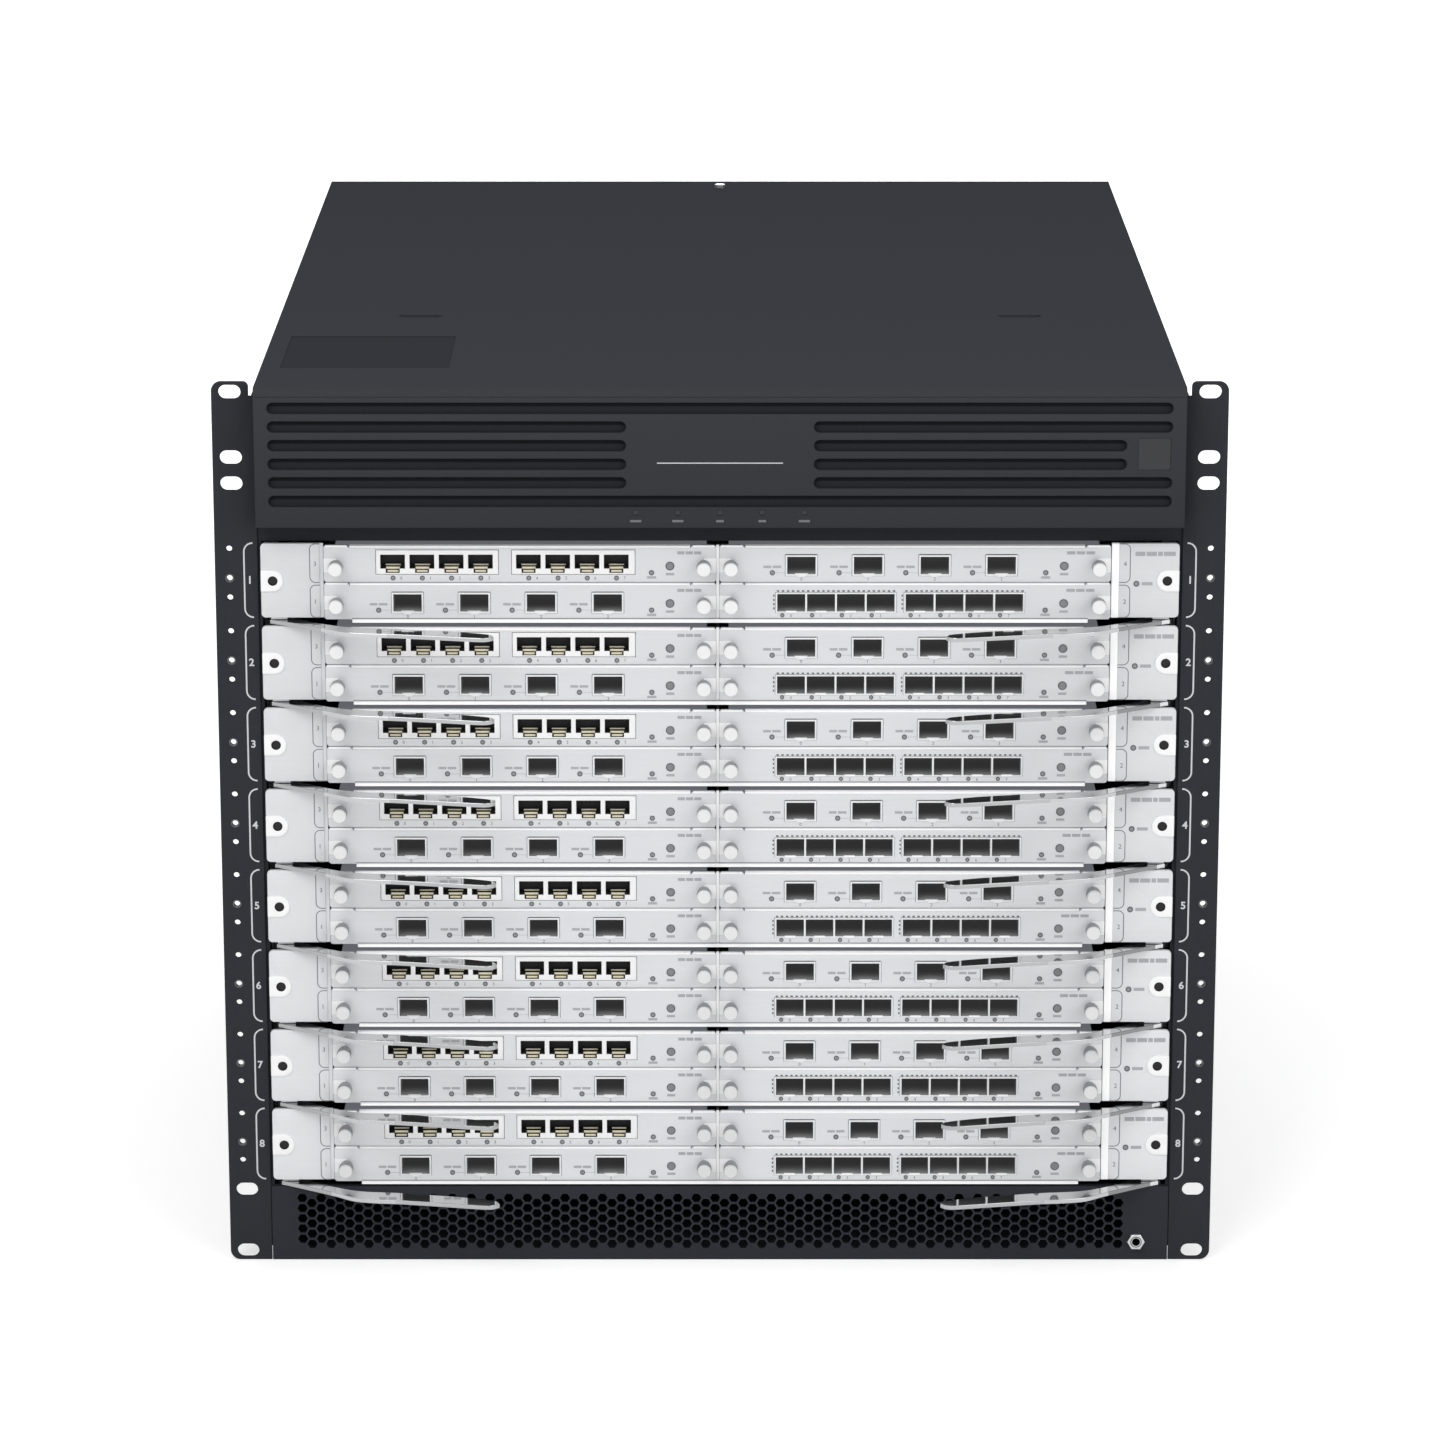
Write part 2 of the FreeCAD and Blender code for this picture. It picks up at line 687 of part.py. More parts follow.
# Slot carrier: a tray of riveted sheets with side walls, divider, back wall and front lip, two face
# plates with raised screw pads, a plug at the back and the pins that the two ejector levers turn on
def face_plate(name, inner, sign):
    body = new_body("plate_" + name)
    low, high = sorted((f"{sign} * plate_edge", f"{sign} * {inner}"), key=number)
    front_block(body, "plate_sheet_" + name, (low, high), ("-plate_sheet", "0"), ("0", "plate_height"))
    face = "plate_sheet + pad_proud"
    drawn = sketch(body, "pad_" + name, "XZ_Plane", face)
    half = "pad_height / 2"
    nose = [(f"{sign} * (pad_inner + {half} - {half} * cos({a}))", f"pad_level - {sign} * {half} * sin({a})")
            for a in range(-90, 91, 30)]
    edge = [(f"{sign} * plate_edge", f"pad_level - {sign} * {half}"),
            (f"{sign} * plate_edge", f"pad_level + {sign} * {half}")]
    outline(drawn, nose + edge)
    pad(body, drawn, "pad_proud", True)
    doc.recompute()
    hole = sketch(body, "pad_hole_" + name, "XZ_Plane", face)
    polygon(hole, f"{sign} * pad_hole_side", "pad_level", "pad_hole", 8)
    pocket(body, hole, face)
    return body


def make_carrier():
    side = "tray_wall_side - tray_sheet"
    middle = "(module_left_inner + module_right_inner) / 2"
    wall_z = "tray_sheet", "tray_wall_height"
    depth = "0", "carrier_depth - tray_sheet"
    pieces = [box("tray_bottom", ("-tray_side", "tray_side"), ("0", "carrier_depth"), ("0", "tray_sheet")),
              box("tray_wall_left", ("-tray_wall_side", f"-({side})"), depth, wall_z),
              box("tray_wall_right", (side, "tray_wall_side"), depth, wall_z),
              box("tray_divider", (f"-{middle} - divider / 2", f"-{middle} + divider / 2"), depth, wall_z),
              box("tray_back", ("-tray_wall_side", "tray_wall_side"), (depth[1], "carrier_depth"), wall_z),
              box("tray_lip", ("-lip_side", "lip_side"), ("0", "tray_sheet"), ("-lip_drop", "0"))]
    boss = "clearance - lever_top"
    for name, x in (("left", "-pivot_side"), ("right", "pivot_side")):
        pieces.append(box("pivot_boss_" + name, (f"{x} - pivot_pin", f"{x} + pivot_pin"),
                          ("0", "pivot_back + pivot_pin"), (boss, "0")))
        pieces.append(prism("pivot_pin_" + name, 8, "pivot_pin", "lever_sheet + 2 * clearance",
                            (x, "pivot_back", boss), V(0, 0, -1)))
    pieces.append(box("trim_strip", ("strip_inner", "plate_right_inner"), ("-plate_sheet", "0"),
                      ("0", "plate_height")))
    pieces.append(box("carrier_plug_block", ("-plug_width", "plug_width"),
                      ("carrier_depth", "carrier_depth + carrier_plug"),
                      ("plate_height / 2 - plug_height / 2", "plate_height / 2 + plug_height / 2")))
    pieces.append(face_plate("left", "plate_left_inner", -1))
    pieces.append(face_plate("right", "plate_right_inner", 1))
    return group("carrier_master", *pieces)


# Interface modules: a face plate on a closed housing, with the sockets sunk through the plate
def module_body(name, left, right, low, floor):
    body = new_body(name)
    front_block(body, name + "_face", (left, right), ("-plate_sheet", "module_sheet - plate_sheet"),
                (low, f"{low} + module_height"))
    front_block(body, name + "_housing", (f"{left} + module_inset", f"{right} - module_inset"),
                ("module_sheet - plate_sheet", "module_depth"), (floor, f"{floor} + housing_height"))
    doc.recompute()
    return body


def rim(body, name, x, z):
    front_block(body, name, (f"{x[0]} - frame_rim", f"{x[1]} + frame_rim"),
                ("-plate_sheet - frame_proud", "-plate_sheet"), (f"{z[0]} - frame_rim", f"{z[1]} + frame_rim"))


lower = "-module_drop"
upper = "module_pitch - module_drop"
lower_floor = "tray_sheet + clearance"
upper_floor = "tray_sheet + 2 * clearance + housing_height"


def make_copper_module():
    body = module_body("copper_module", "-module_left_outer", "-module_left_inner", upper, upper_floor)
    gang_width = "3 * copper_pitch + copper_width"
    for gang in range(2):
        start = f"-copper_left + {gang} * copper_gang_pitch"
        rim(body, f"copper_frame_{gang + 1}", (start, f"{start} + {gang_width}"),
            ("copper_low - key_height", "copper_low + copper_height"))
        doc.recompute()
        drawn = sketch(body, f"copper_socket_{gang + 1}", "XZ_Plane", "plate_sheet + frame_proud")
        key = f"{start} + copper_width / 2 - key_width / 2"
        outline(drawn, [(start, "copper_low"), (key, "copper_low"), (key, "copper_low - key_height"),
                        (f"{key} + key_width", "copper_low - key_height"), (f"{key} + key_width", "copper_low"),
                        (f"{start} + copper_width", "copper_low"),
                        (f"{start} + copper_width", "copper_low + copper_height"),
                        (start, "copper_low + copper_height")])
        repeat(body, pocket(body, drawn, "copper_depth"), "H_Axis", "3 * copper_pitch", 4)
        doc.recompute()
    return body


def make_optic_module(name, left, right, low, floor, start):
    body = module_body(name, left, right, low, floor)
    level = f"{low} + module_drop + optic_low"
    width, pitch = "optic_width", "optic_pitch"
    for n in range(4):
        x = f"{start} + {n} * {pitch}"
        rim(body, f"{name}_frame_{n + 1}", (x, f"{x} + {width}"), (level, f"{level} + optic_height"))
    doc.recompute()
    drawn = sketch(body, name + "_socket", "XZ_Plane", "plate_sheet + frame_proud")
    rectangle(drawn, (start, f"{start} + {width}"), (level, f"{level} + optic_height"))
    repeat(body, pocket(body, drawn, "optic_depth"), "H_Axis", f"3 * {pitch}", 4)
    return body


def make_gang_module():
    body = module_body("gang_module", "-module_right_inner", "module_right_outer", lower, lower_floor)
    for gang in range(2):
        start = f"gang_start + {gang} * gang_step"
        rim(body, f"gang_frame_{gang + 1}", (start, f"{start} + 3 * gang_pitch + gang_width"),
            ("optic_low", "optic_low + optic_height"))
        doc.recompute()
        drawn = sketch(body, f"gang_socket_{gang + 1}", "XZ_Plane", "plate_sheet + frame_proud")
        rectangle(drawn, (start, f"{start} + gang_width"), ("optic_low", "optic_low + optic_height"))
        repeat(body, pocket(body, drawn, "optic_depth"), "H_Axis", "3 * gang_pitch", 4)
        doc.recompute()
    return body


# Thumbscrews: two to a module, each a knob with eight sides against the module's face
def make_knobs():
    knobs = []
    for side, x in (("left_outer", "-knob_left_outer"), ("left_inner", "-knob_left_inner"),
                    ("right_inner", "knob_right_inner"), ("right_outer", "knob_right_outer")):
        for row, level in (("low", "knob_level"), ("high", "knob_level + module_pitch")):
            knobs.append(prism(f"knob_{side}_{row}", 8, "knob", "knob_length", (x, "-plate_sheet", level),
                               V(0, -1, 0)))
    return group("knob_master", *knobs)


# Ejector lever: a flat stamped steel arm below its carrier, bent like a dog's leg in plan, with an
# eye on the pivot pin, a wider grip and a narrow tip
def make_lever():
    body = new_body("lever")
    arm = sketch(body, "lever_arm", "XY_Plane", "-lever_top - lever_sheet")
    stations = (("knee", "knee_width"), ("elbow", "elbow_width"), ("hand", "grip_width"),
                ("grip", "grip_width"))
    front = [(f"-pivot_side + {name}_run", f"-{name}_out - {width} / 2") for name, width in stations]
    rear = [(f"-pivot_side + {name}_run", f"-{name}_out + {width} / 2") for name, width in stations]
    tip = "-pivot_side + grip_run + tip_length"
    eye = [(f"-pivot_side - lever_eye / 2 * cos({a})", f"pivot_back + lever_eye / 2 * sin({a})")
           for a in range(135, -46, -45)]
    outline(arm, [*eye, *front, (tip, "-grip_out - tip_width / 2"), (tip, "-grip_out + tip_width / 2"),
                  *reversed(rear), ("-pivot_side + lever_eye", "0")])
    pad(body, arm, "lever_sheet")
    doc.recompute()
    hole = sketch(body, "lever_hole", "XY_Plane", "-lever_top")
    circle(hole, "-pivot_side", "pivot_back", "pivot_pin + 2 * pivot_play")
    pocket(body, hole, "lever_sheet")
    return body


def make_slots():
    carrier = make_carrier()
    modules = group("module_master", make_copper_module(),
                    make_optic_module("optic_left", "-module_left_outer", "-module_left_inner", lower,
                                      lower_floor, "-optic_left_start"),
                    make_optic_module("optic_right", "-module_right_inner", "module_right_outer", upper,
                                      upper_floor, "optic_right_start"),
                    make_gang_module())
    knobs = make_knobs()
    lever = make_lever()
    other = mirror("lever_mirrored", lever)
    for n in range(1, SLOTS + 1):
        level = f"slot_low + {SLOTS - n} * slot_pitch"
        for kind, master in (("carrier", carrier), ("modules", modules), ("thumbscrews", knobs),
                             ("lever_left", lever), ("lever_right", other)):
            keep(group(f"{kind}_slot_{n}", master), f"{kind}_{n}", level)


# Rear handle: a strap bent into a bow
def bow(body, name, x, y, z):
    bar = "handle_bar"
    front_block(body, name + "_post_a", (f"{x} - handle_width / 2", f"{x} - handle_width / 2 + {bar}"),
                (y, f"{y} + handle_reach"), (f"{z} - {bar} / 2", f"{z} + {bar} / 2"))
    front_block(body, name + "_post_b", (f"{x} + handle_width / 2 - {bar}", f"{x} + handle_width / 2"),
                (y, f"{y} + handle_reach"), (f"{z} - {bar} / 2", f"{z} + {bar} / 2"))
    front_block(body, name + "_grip", (f"{x} - handle_width / 2", f"{x} + handle_width / 2"),
                (f"{y} + handle_reach - {bar} / 2", f"{y} + handle_reach"),
                (f"{z} - {bar} / 2", f"{z} + {bar} / 2"))


back = "chassis_depth + clearance"
back_face = "chassis_depth + clearance + rear_panel"


def rear_module(name, x, low, height, depth):
    body = new_body(name)
    front_block(body, name + "_housing", x, (f"chassis_depth - {depth}", back), (low, f"{low} + {height}"))
    front_block(body, name + "_panel", (f"{x[0]} - rear_panel_lap / 2", f"{x[1]} + rear_panel_lap / 2"),
                (back, back_face), (f"{low} - rear_panel_lap", f"{low} + {height} + rear_panel_lap"))
    doc.recompute()
    return body


# Power supplies: long boxes with a recessed mains inlet, a row of upright vent slots and a bow handle
def make_supplies():
    level = "supply_low + supply_height / 2"
    for n, x in ((1, ("-rear_side", "-supply_inner")), (2, ("supply_inner", "rear_side"))):
        name = f"power_supply_{n}"
        body = rear_module(name, x, "supply_low", "supply_height", "rear_depth")
        middle = f"({x[0]} + {x[1]}) / 2"
        inlet = sketch(body, name + "_inlet", "XZ_Plane", f"-({back_face} - inlet_depth)")
        low = "supply_low + inlet_side"
        rectangle(inlet, (f"{x[1]} - inlet_side - inlet_width", f"{x[1]} - inlet_side"),
                  (f"{low} - inlet_height / 2", f"{low} + inlet_height / 2"))
        pocket(body, inlet, "inlet_depth")
        for row, z, count in (("low", f"{level} - inlet_side", 4), ("high", f"{level} + inlet_side", 8)):
            vent = sketch(body, f"{name}_vent_{row}", "XZ_Plane", f"-({back_face} - vent_depth)")
            rectangle(vent, (f"{middle} - vent_width / 2", f"{middle} - vent_width / 2 + vent_slot"),
                      (f"{z} - inlet_height / 2", f"{z} + inlet_height / 2"))
            repeat(body, pocket(body, vent, "vent_depth"), "H_Axis", f"{count - 1} * vent_pitch", count)
            doc.recompute()
        bow(body, name + "_handle", middle, back_face, level)
        doc.recompute()
        keep(body, name)


# Control modules and forwarding module: rear cards with a bow handle at each end, the control modules
# with four service sockets between them
def make_rear_cards():
    cards = (("control_module_1", "control_low", "control_height"),
             ("control_module_2", "control_low + control_pitch", "control_height"),
             ("forwarding_module", "forward_low", "forward_height"))
    for name, low, height in cards:
        body = rear_module(name, ("-rear_side", "rear_side"), low, height, "rear_depth")
        level = f"{low} + {height} / 2"
        if height == "control_height":
            socket = sketch(body, name + "_socket", "XZ_Plane", f"-({back_face} - service_depth)")
            rectangle(socket, ("-2 * service_pitch", "-2 * service_pitch + service_socket"),
                      (f"{level} - service_height / 2", f"{level} + service_height / 2"))
            repeat(body, pocket(body, socket, "service_depth"), "H_Axis", "3 * service_pitch", 4)
            doc.recompute()
        for side, x in (("a", "-rear_side + handle_width"), ("b", "rear_side - handle_width")):
            bow(body, f"{name}_handle_{side}", x, back_face, level)
        keep(body, name)


# Fan tray: an open tray of sheets behind a panel with three round openings, each crossed by a guard bar
# and an upright that carries the axle, and three rotors
def make_fans():
    low, high = "fan_low", "fan_low + fan_height"
    level = "fan_low + fan_height / 2"
    front = "chassis_depth - fan_depth"
    body = new_body("fan_panel")
    front_block(body, "fan_panel_sheet", ("-rear_side - rear_panel_lap / 2", "rear_side + rear_panel_lap / 2"),
                (back, back_face), (f"{low} - rear_panel_lap", f"{high} + rear_panel_lap"))
    doc.recompute()
    duct = sketch(body, "duct", "XZ_Plane", f"-({back})")
    polygon(duct, "-fan_spacing", level, "fan_bore", 16)
    repeat(body, pocket(body, duct, "rear_panel"), "H_Axis", "2 * fan_spacing", FANS)
    pieces = [body]
    across = "-rear_side", "rear_side"
    sides = f"{low} + tray_sheet", f"{high} - tray_sheet"
    for name, x, z in (("floor", across, (low, sides[0])), ("roof", across, (sides[1], high)),
                       ("left", ("-rear_side", "-rear_side + tray_sheet"), sides),
                       ("right", ("rear_side - tray_sheet", "rear_side"), sides)):
        pieces.append(box("fan_" + name, x, (front, back), z))
    lap = "fan_bore / 2 + fan_guard"
    crossing = f"{back} - fan_guard"
    inner = f"{back} - 2 * fan_guard"
    for n in range(FANS):
        x = f"{n - 1} * fan_spacing"
        pieces.append(box(f"guard_across_{n + 1}", (f"{x} - {lap}", f"{x} + {lap}"), (inner, crossing),
                          (f"{level} - fan_guard", f"{level} + fan_guard")))
        pieces.append(box(f"guard_upright_{n + 1}", (f"{x} - fan_guard", f"{x} + fan_guard"), (crossing, back),
                          (f"{level} - {lap}", f"{level} + {lap}")))
        pieces.append(prism(f"axle_{n + 1}", 8, "axle", "rotor_back + hub_depth / 2 - 2 * fan_guard",
                            (x, inner, level), V(0, -1, 0)))
    keep(group("fan_tray_group", *pieces), "fan_tray")
    rotor = make_rotor()
    for n in range(FANS):
        turned = keep(group(f"rotor_{n + 1}", rotor), f"fan_rotor_{n + 1}", level)
        place(turned, f"{n - 1} * fan_spacing", "-chassis_depth / 2", level)


# Fan rotor: a hub bored for the axle, with seven pitched blades
def make_rotor():
    hub_back = f"{back} - rotor_back"
    hub = prism("rotor_hub", 12, "hub", "hub_depth", ("0", hub_back, "0"), V(0, -1, 0))
    hole = rod("rotor_bore", "axle + 4 * pivot_play", "hub_depth / 2 + cut_margin",
               ("0", f"{hub_back} + cut_margin / 2", "0"), V(0, -1, 0))
    blades = []
    for n in range(BLADES):
        blade = doc.addObject("Part::Box", f"blade_{n + 1}")
        bind(blade, Length="blade_chord", Width="blade",
             Height="fan_bore / 2 - hub / 2 + blade_root - blade_tip_gap")
        pitch = FreeCAD.Rotation(V(0, 0, 1), BLADE_PITCH)
        swing = FreeCAD.Rotation(V(0, 1, 0), 360 * n / BLADES)
        blade.Placement.Rotation = swing * pitch
        root = swing.multVec(V(0, 0, 1))
        edge = swing.multVec(pitch.multVec(V(-1, 0, 0)))
        place(blade, f"{root.x} * (hub / 2 - blade_root) + {edge.x} * blade_chord / 2",
              f"{hub_back} - hub_depth / 2 + {edge.y} * blade_chord / 2",
              f"{root.z} * (hub / 2 - blade_root) + {edge.z} * blade_chord / 2")
        blades.append(blade)
    return cut("rotor_master", fuse("rotor_solid", hub, *blades), hole)


# Hexagon head screws of the cover and of the ears, each flat against its sheet
def make_screws():
    cover = [prism("cover_screw_top", 6, "screw_head", "screw_height",
                   ("0", "chassis_depth - screw_inset", "chassis_height"), V(0, 0, 1))]
    ears = []
    for name, side in (("left", -1), ("right", 1)):
        for n in range(3):
            along = f"chassis_depth * (cover_screw_first + {n} * cover_screw_step)"
            cover.append(prism(f"cover_screw_{name}_{n + 1}", 6, "screw_head", "screw_height",
                               (f"{side} * {half_width}", along, "chassis_height - wall - cover_flange / 2"),
                               V(side, 0, 0)))
            level = f"ear_height * (ear_screw_first + {n} * ear_screw_step)"
            ears.append(prism(f"ear_screw_{name}_{n + 1}", 6, "screw_head", "screw_height",
                              (f"{side} * ({half_width} + ear_sheet)", "ear_leg_depth * ear_screw_set", level),
                              V(side, 0, 0)))
    keep(group("cover_screw_group", *cover), "cover_screws")
    keep(group("ear_screw_group", *ears), "ear_screws")


make_shell()
make_cover()
make_bezel()
make_ears()
make_intake()
make_jack()
make_guides()
make_backplane()
make_slots()
make_supplies()
make_rear_cards()
make_fans()
make_screws()
doc.recompute()

# Every object has to be up to date and every node valid before anything is written
for thing in doc.Objects:
    if {"Invalid", "Error"} & set(thing.State):
        raise ValueError(f"{thing.Name} failed: {thing.State}")
for node in nodes:
    if node.Shape.isNull() or not node.Shape.isValid():
        raise ValueError(f"{node.Label} has no valid shape")
for node in nodes:
    node.Shape.exportStep(f"parts/{node.Label}.step")
    print(node.Label, len(node.Shape.Solids), round(node.Shape.Volume / 1000, 1))
print(len(nodes), "nodes")
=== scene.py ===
import math

import bmesh
import bpy
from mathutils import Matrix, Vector
from mathutils.geometry import delaunay_2d_cdt


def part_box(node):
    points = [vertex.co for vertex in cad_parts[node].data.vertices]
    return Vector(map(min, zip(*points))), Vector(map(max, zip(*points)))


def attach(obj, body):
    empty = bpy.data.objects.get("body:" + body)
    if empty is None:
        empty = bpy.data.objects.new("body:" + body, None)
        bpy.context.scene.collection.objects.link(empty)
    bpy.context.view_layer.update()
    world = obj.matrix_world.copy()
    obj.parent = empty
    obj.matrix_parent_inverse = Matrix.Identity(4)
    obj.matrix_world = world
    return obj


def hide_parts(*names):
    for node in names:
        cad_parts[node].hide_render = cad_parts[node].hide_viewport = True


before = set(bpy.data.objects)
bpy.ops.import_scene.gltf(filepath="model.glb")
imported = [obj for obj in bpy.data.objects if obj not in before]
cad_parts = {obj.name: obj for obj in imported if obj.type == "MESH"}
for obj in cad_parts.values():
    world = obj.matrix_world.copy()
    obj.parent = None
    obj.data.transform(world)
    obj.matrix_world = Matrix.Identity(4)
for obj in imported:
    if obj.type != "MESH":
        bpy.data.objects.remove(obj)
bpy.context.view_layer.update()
MM = 0.001


# Chassis shell and card guides: folded sheet steel, the shell powder coated dark grey, the guides
# zinc plated. They keep their CAD form and only take a finish.
class Sum:
    """A shader value that builds nodes from ordinary arithmetic."""

    def __init__(self, tree, socket):
        self.tree = tree
        self.socket = socket

    def node(self, kind, **inputs):
        made = self.tree.nodes.new(kind)
        for key, value in inputs.items():
            self.feed(made.inputs[key], value)
        return Sum(self.tree, made.outputs[0])

    def feed(self, socket, value):
        if isinstance(value, Sum):
            self.tree.links.new(value.socket, socket)
        else:
            socket.default_value = value

    def maths(self, operation, *others):
        made = self.tree.nodes.new("ShaderNodeMath")
        made.operation = operation
        for socket, value in zip(made.inputs, (self, *others)):
            self.feed(socket, value)
        return Sum(self.tree, made.outputs[0])

    def __add__(self, other):
        return self.maths("ADD", other)

    def __mul__(self, other):
        return self.maths("MULTIPLY", other)

    def __sub__(self, other):
        return self.maths("SUBTRACT", other)

    def __rsub__(self, other):
        return self.maths("MULTIPLY", -1.0).maths("ADD", other)

    def __gt__(self, other):
        return self.maths("GREATER_THAN", other)

    def __lt__(self, other):
        return self.maths("LESS_THAN", other)

    __radd__ = __add__
    __rmul__ = __mul__

    def scaled(self, by):
        """The vector times three factors, or times one value."""
        made = self.tree.nodes.new("ShaderNodeVectorMath")
        each = isinstance(by, tuple)
        made.operation = "MULTIPLY" if each else "SCALE"
        self.feed(made.inputs[0], self)
        self.feed(made.inputs[1 if each else "Scale"], by)
        return Sum(self.tree, made.outputs[0])


def tone(*bytes_):
    """A display colour, 0 to 255 a channel, as the linear colour that a shader takes."""
    shares = [b / 255 for b in bytes_]
    return tuple(s / 12.92 if s <= 0.04045 else ((s + 0.055) / 1.055) ** 2.4 for s in shares)


def finish(name, colour, rough=0.5, metal=0.0, grain=(700, 700, 700), shade=0.05, relief=0.0, change=None,
           gloss=0.5, glow=0.0):
    """A finish whose tone wanders with a noise of that grain and changes with place. Relief is a fine bump,
    and glow, a level or a function of place, stands for stray light."""
    made = bpy.data.materials.new(name)
    made.use_nodes = True
    tree = made.node_tree
    shader = tree.nodes["Principled BSDF"]
    place = Sum(tree, tree.nodes.new("ShaderNodeTexCoord").outputs["Object"])
    noise = place.node("ShaderNodeTexNoise", Vector=place.scaled(grain), Scale=1.0, Detail=3.0)
    level = 1.0 + (noise - 0.5) * (2.0 * shade)
    split = tree.nodes.new("ShaderNodeSeparateXYZ")
    place.feed(split.inputs[0], place)
    x, y, z = (Sum(tree, socket) for socket in split.outputs)
    if change:
        level = level * change(x, y, z)
    flat = place.node("ShaderNodeCombineColor", Red=colour[0], Green=colour[1], Blue=colour[2])
    place.feed(shader.inputs["Base Color"], flat.scaled(level))
    place.feed(shader.inputs["Roughness"], rough + (noise - 0.5) * (0.3 * rough))
    shader.inputs["Metallic"].default_value = metal
    shader.inputs["Specular IOR Level"].default_value = gloss
    if relief:
        bump = place.node("ShaderNodeBump", Height=noise, Distance=relief, Strength=0.5)
        place.feed(shader.inputs["Normal"], bump)
    if glow:
        shader.inputs["Emission Strength"].default_value = 1.0
        if callable(glow):
            stray = glow(x, y, z)
            light = place.node("ShaderNodeCombineColor", Red=stray * 0.95, Green=stray, Blue=stray * 1.12)
            place.feed(shader.inputs["Emission Color"], light)
        else:
            shader.inputs["Emission Color"].default_value = (glow, glow, glow, 1)
    return made


def dress(node, material):
    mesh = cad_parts[node].data
    mesh.materials.clear()
    mesh.materials.append(material)


PAINT_GRAIN = (1500, 1500, 1500)
PAINT_RELIEF = 0.02 * MM
ZINC_LOOK = {"colour": tone(176, 178, 180), "rough": 0.38, "metal": 0.85, "grain": (40, 40, 40),
             "shade": 0.06}
dark_paint = finish("dark_paint", tone(44, 46, 51), rough=0.55, grain=PAINT_GRAIN, shade=0.08,
                    relief=PAINT_RELIEF, gloss=0.08)
zinc = finish("zinc_sheet", **ZINC_LOOK)
dress("chassis_shell", dark_paint)
dress("card_guides", zinc)

# Top cover: one dark painted sheet, painted darker to the rear as a painted reflection of the room that
# fades backwards. A slightly darker bare field lies behind its front edge at the left, where a label would
# be.
cover_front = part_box("top_cover")[0].y
FIELD_X = (-211 * MM, -130 * MM)
FIELD_DEEP = (35 * MM, 112 * MM)


def cover_tone(x, y, z):
    """Painted reflection, darker to the rear, and once more darker in the field."""
    deep = y - cover_front
    field = (x > FIELD_X[0]) * (x < FIELD_X[1]) * (deep > FIELD_DEEP[0]) * (deep < FIELD_DEEP[1])
    return (1.31 - deep * 0.28) * (1.0 - 0.22 * field)


dress("top_cover", finish("cover_paint", tone(56, 58, 63), rough=0.5, grain=PAINT_GRAIN, shade=0.06,
                          relief=PAINT_RELIEF, change=cover_tone, gloss=0.0))


# Front bezel: a moulded hood with a rounded brow, six rows of blind grooves with soft lips, a dark
# square window, a thin white rule and five lamps, each lamp with a small grey bar under it.
class Shape:
    """Faces gathered for one piece. Each is drawn on a view, a place with directions right and up that is
    seen from outside."""

    def __init__(self, at=(0, 0, 0), right=(1, 0, 0), up=(0, 0, 1)):
        self.points = []
        self.faces = []
        self.finishes = []
        self.look(at, right, up)

    def look(self, at, right=(1, 0, 0), up=(0, 0, 1)):
        self.at = Vector(at)
        self.right = Vector(right)
        self.up = Vector(up)
        self.inward = -self.right.cross(self.up)
        return self

    def ring(self, loop, depth):
        start = len(self.points)
        self.points += [self.at + self.right * u + self.up * v + self.inward * depth for u, v in loop]
        return list(range(start, len(self.points)))

    def face(self, corners, material):
        self.faces.append(corners)
        self.finishes.append(material)

    def wall(self, front, back, material):
        for i in range(len(front)):
            j = (i + 1) % len(front)
            self.face([front[i], back[i], back[j], front[j]], material)

    def fill(self, loops, depth, material, away=False):
        """The area inside the first loop and outside the others."""
        corners = [Vector(p) for loop in loops for p in loop]
        groups = []
        for loop in loops:
            start = sum(len(g) for g in groups)
            groups.append(list(range(start, start + len(loop))))
        found, _, faces, _, _, inside = delaunay_2d_cdt(corners, [], groups, 1, 1e-8)
        start = len(self.points)
        self.ring([tuple(p) for p in found], depth)
        for corner_list, owners in zip(faces, inside):
            if owners == [0]:
                ordered = reversed(corner_list) if away else corner_list
                self.face([start + c for c in ordered], material)

    def panel(self, outline, thick, material, openings=(), lip=0.0, front=0.0, steps=3):
        """A plate with rounded front edges and with openings made by hollow()."""
        bends = [math.pi / 2 * k / steps for k in range(steps + 1)] if lip else [math.pi / 2]
        rows = [(lip * (1 - math.sin(b)), front + lip * (1 - math.cos(b))) for b in bends]
        rings = [self.ring(grown(outline, -out), depth) for out, depth in rows]
        rings.append(self.ring(outline, front + thick))
        for first, second in zip(rings, rings[1:]):
            self.wall(first, second, material)
        for loop, depth, side, floor in openings:
            rings = [self.ring(grown(loop, out), level) for out, level in rows]
            rings.append(self.ring(loop, front + (depth or thick)))
            for n, (first, second) in enumerate(zip(rings, rings[1:])):
                self.wall(second, first, side if n == len(rings) - 2 else material)
            if depth:
                self.face(rings[-1], floor)
        widest = rows[0][0]
        self.fill([grown(outline, -widest)] + [grown(o[0], widest) for o in openings], rows[0][1], material)
        through = [o[0] for o in openings if not o[1] or o[1] > thick]
        self.fill([outline] + through, front + thick, material, away=True)

    def turned(self, profile, centre, material, cap=True):
        """A turned form: (radius, depth) from the front outwards and to the back."""
        rings = [self.ring(circle(*centre, 2 * r), depth) for r, depth in profile]
        self.face(rings[0], material)
        for first, second in zip(rings, rings[1:]):
            self.wall(first, second, material)
        if cap:
            self.face(rings[-1][::-1], material)

    def lowered(self, by):
        """The same form further down."""
        made = Shape()
        made.points = [p - Vector((0, 0, by)) for p in self.points]
        made.faces, made.finishes = self.faces, self.finishes
        return made


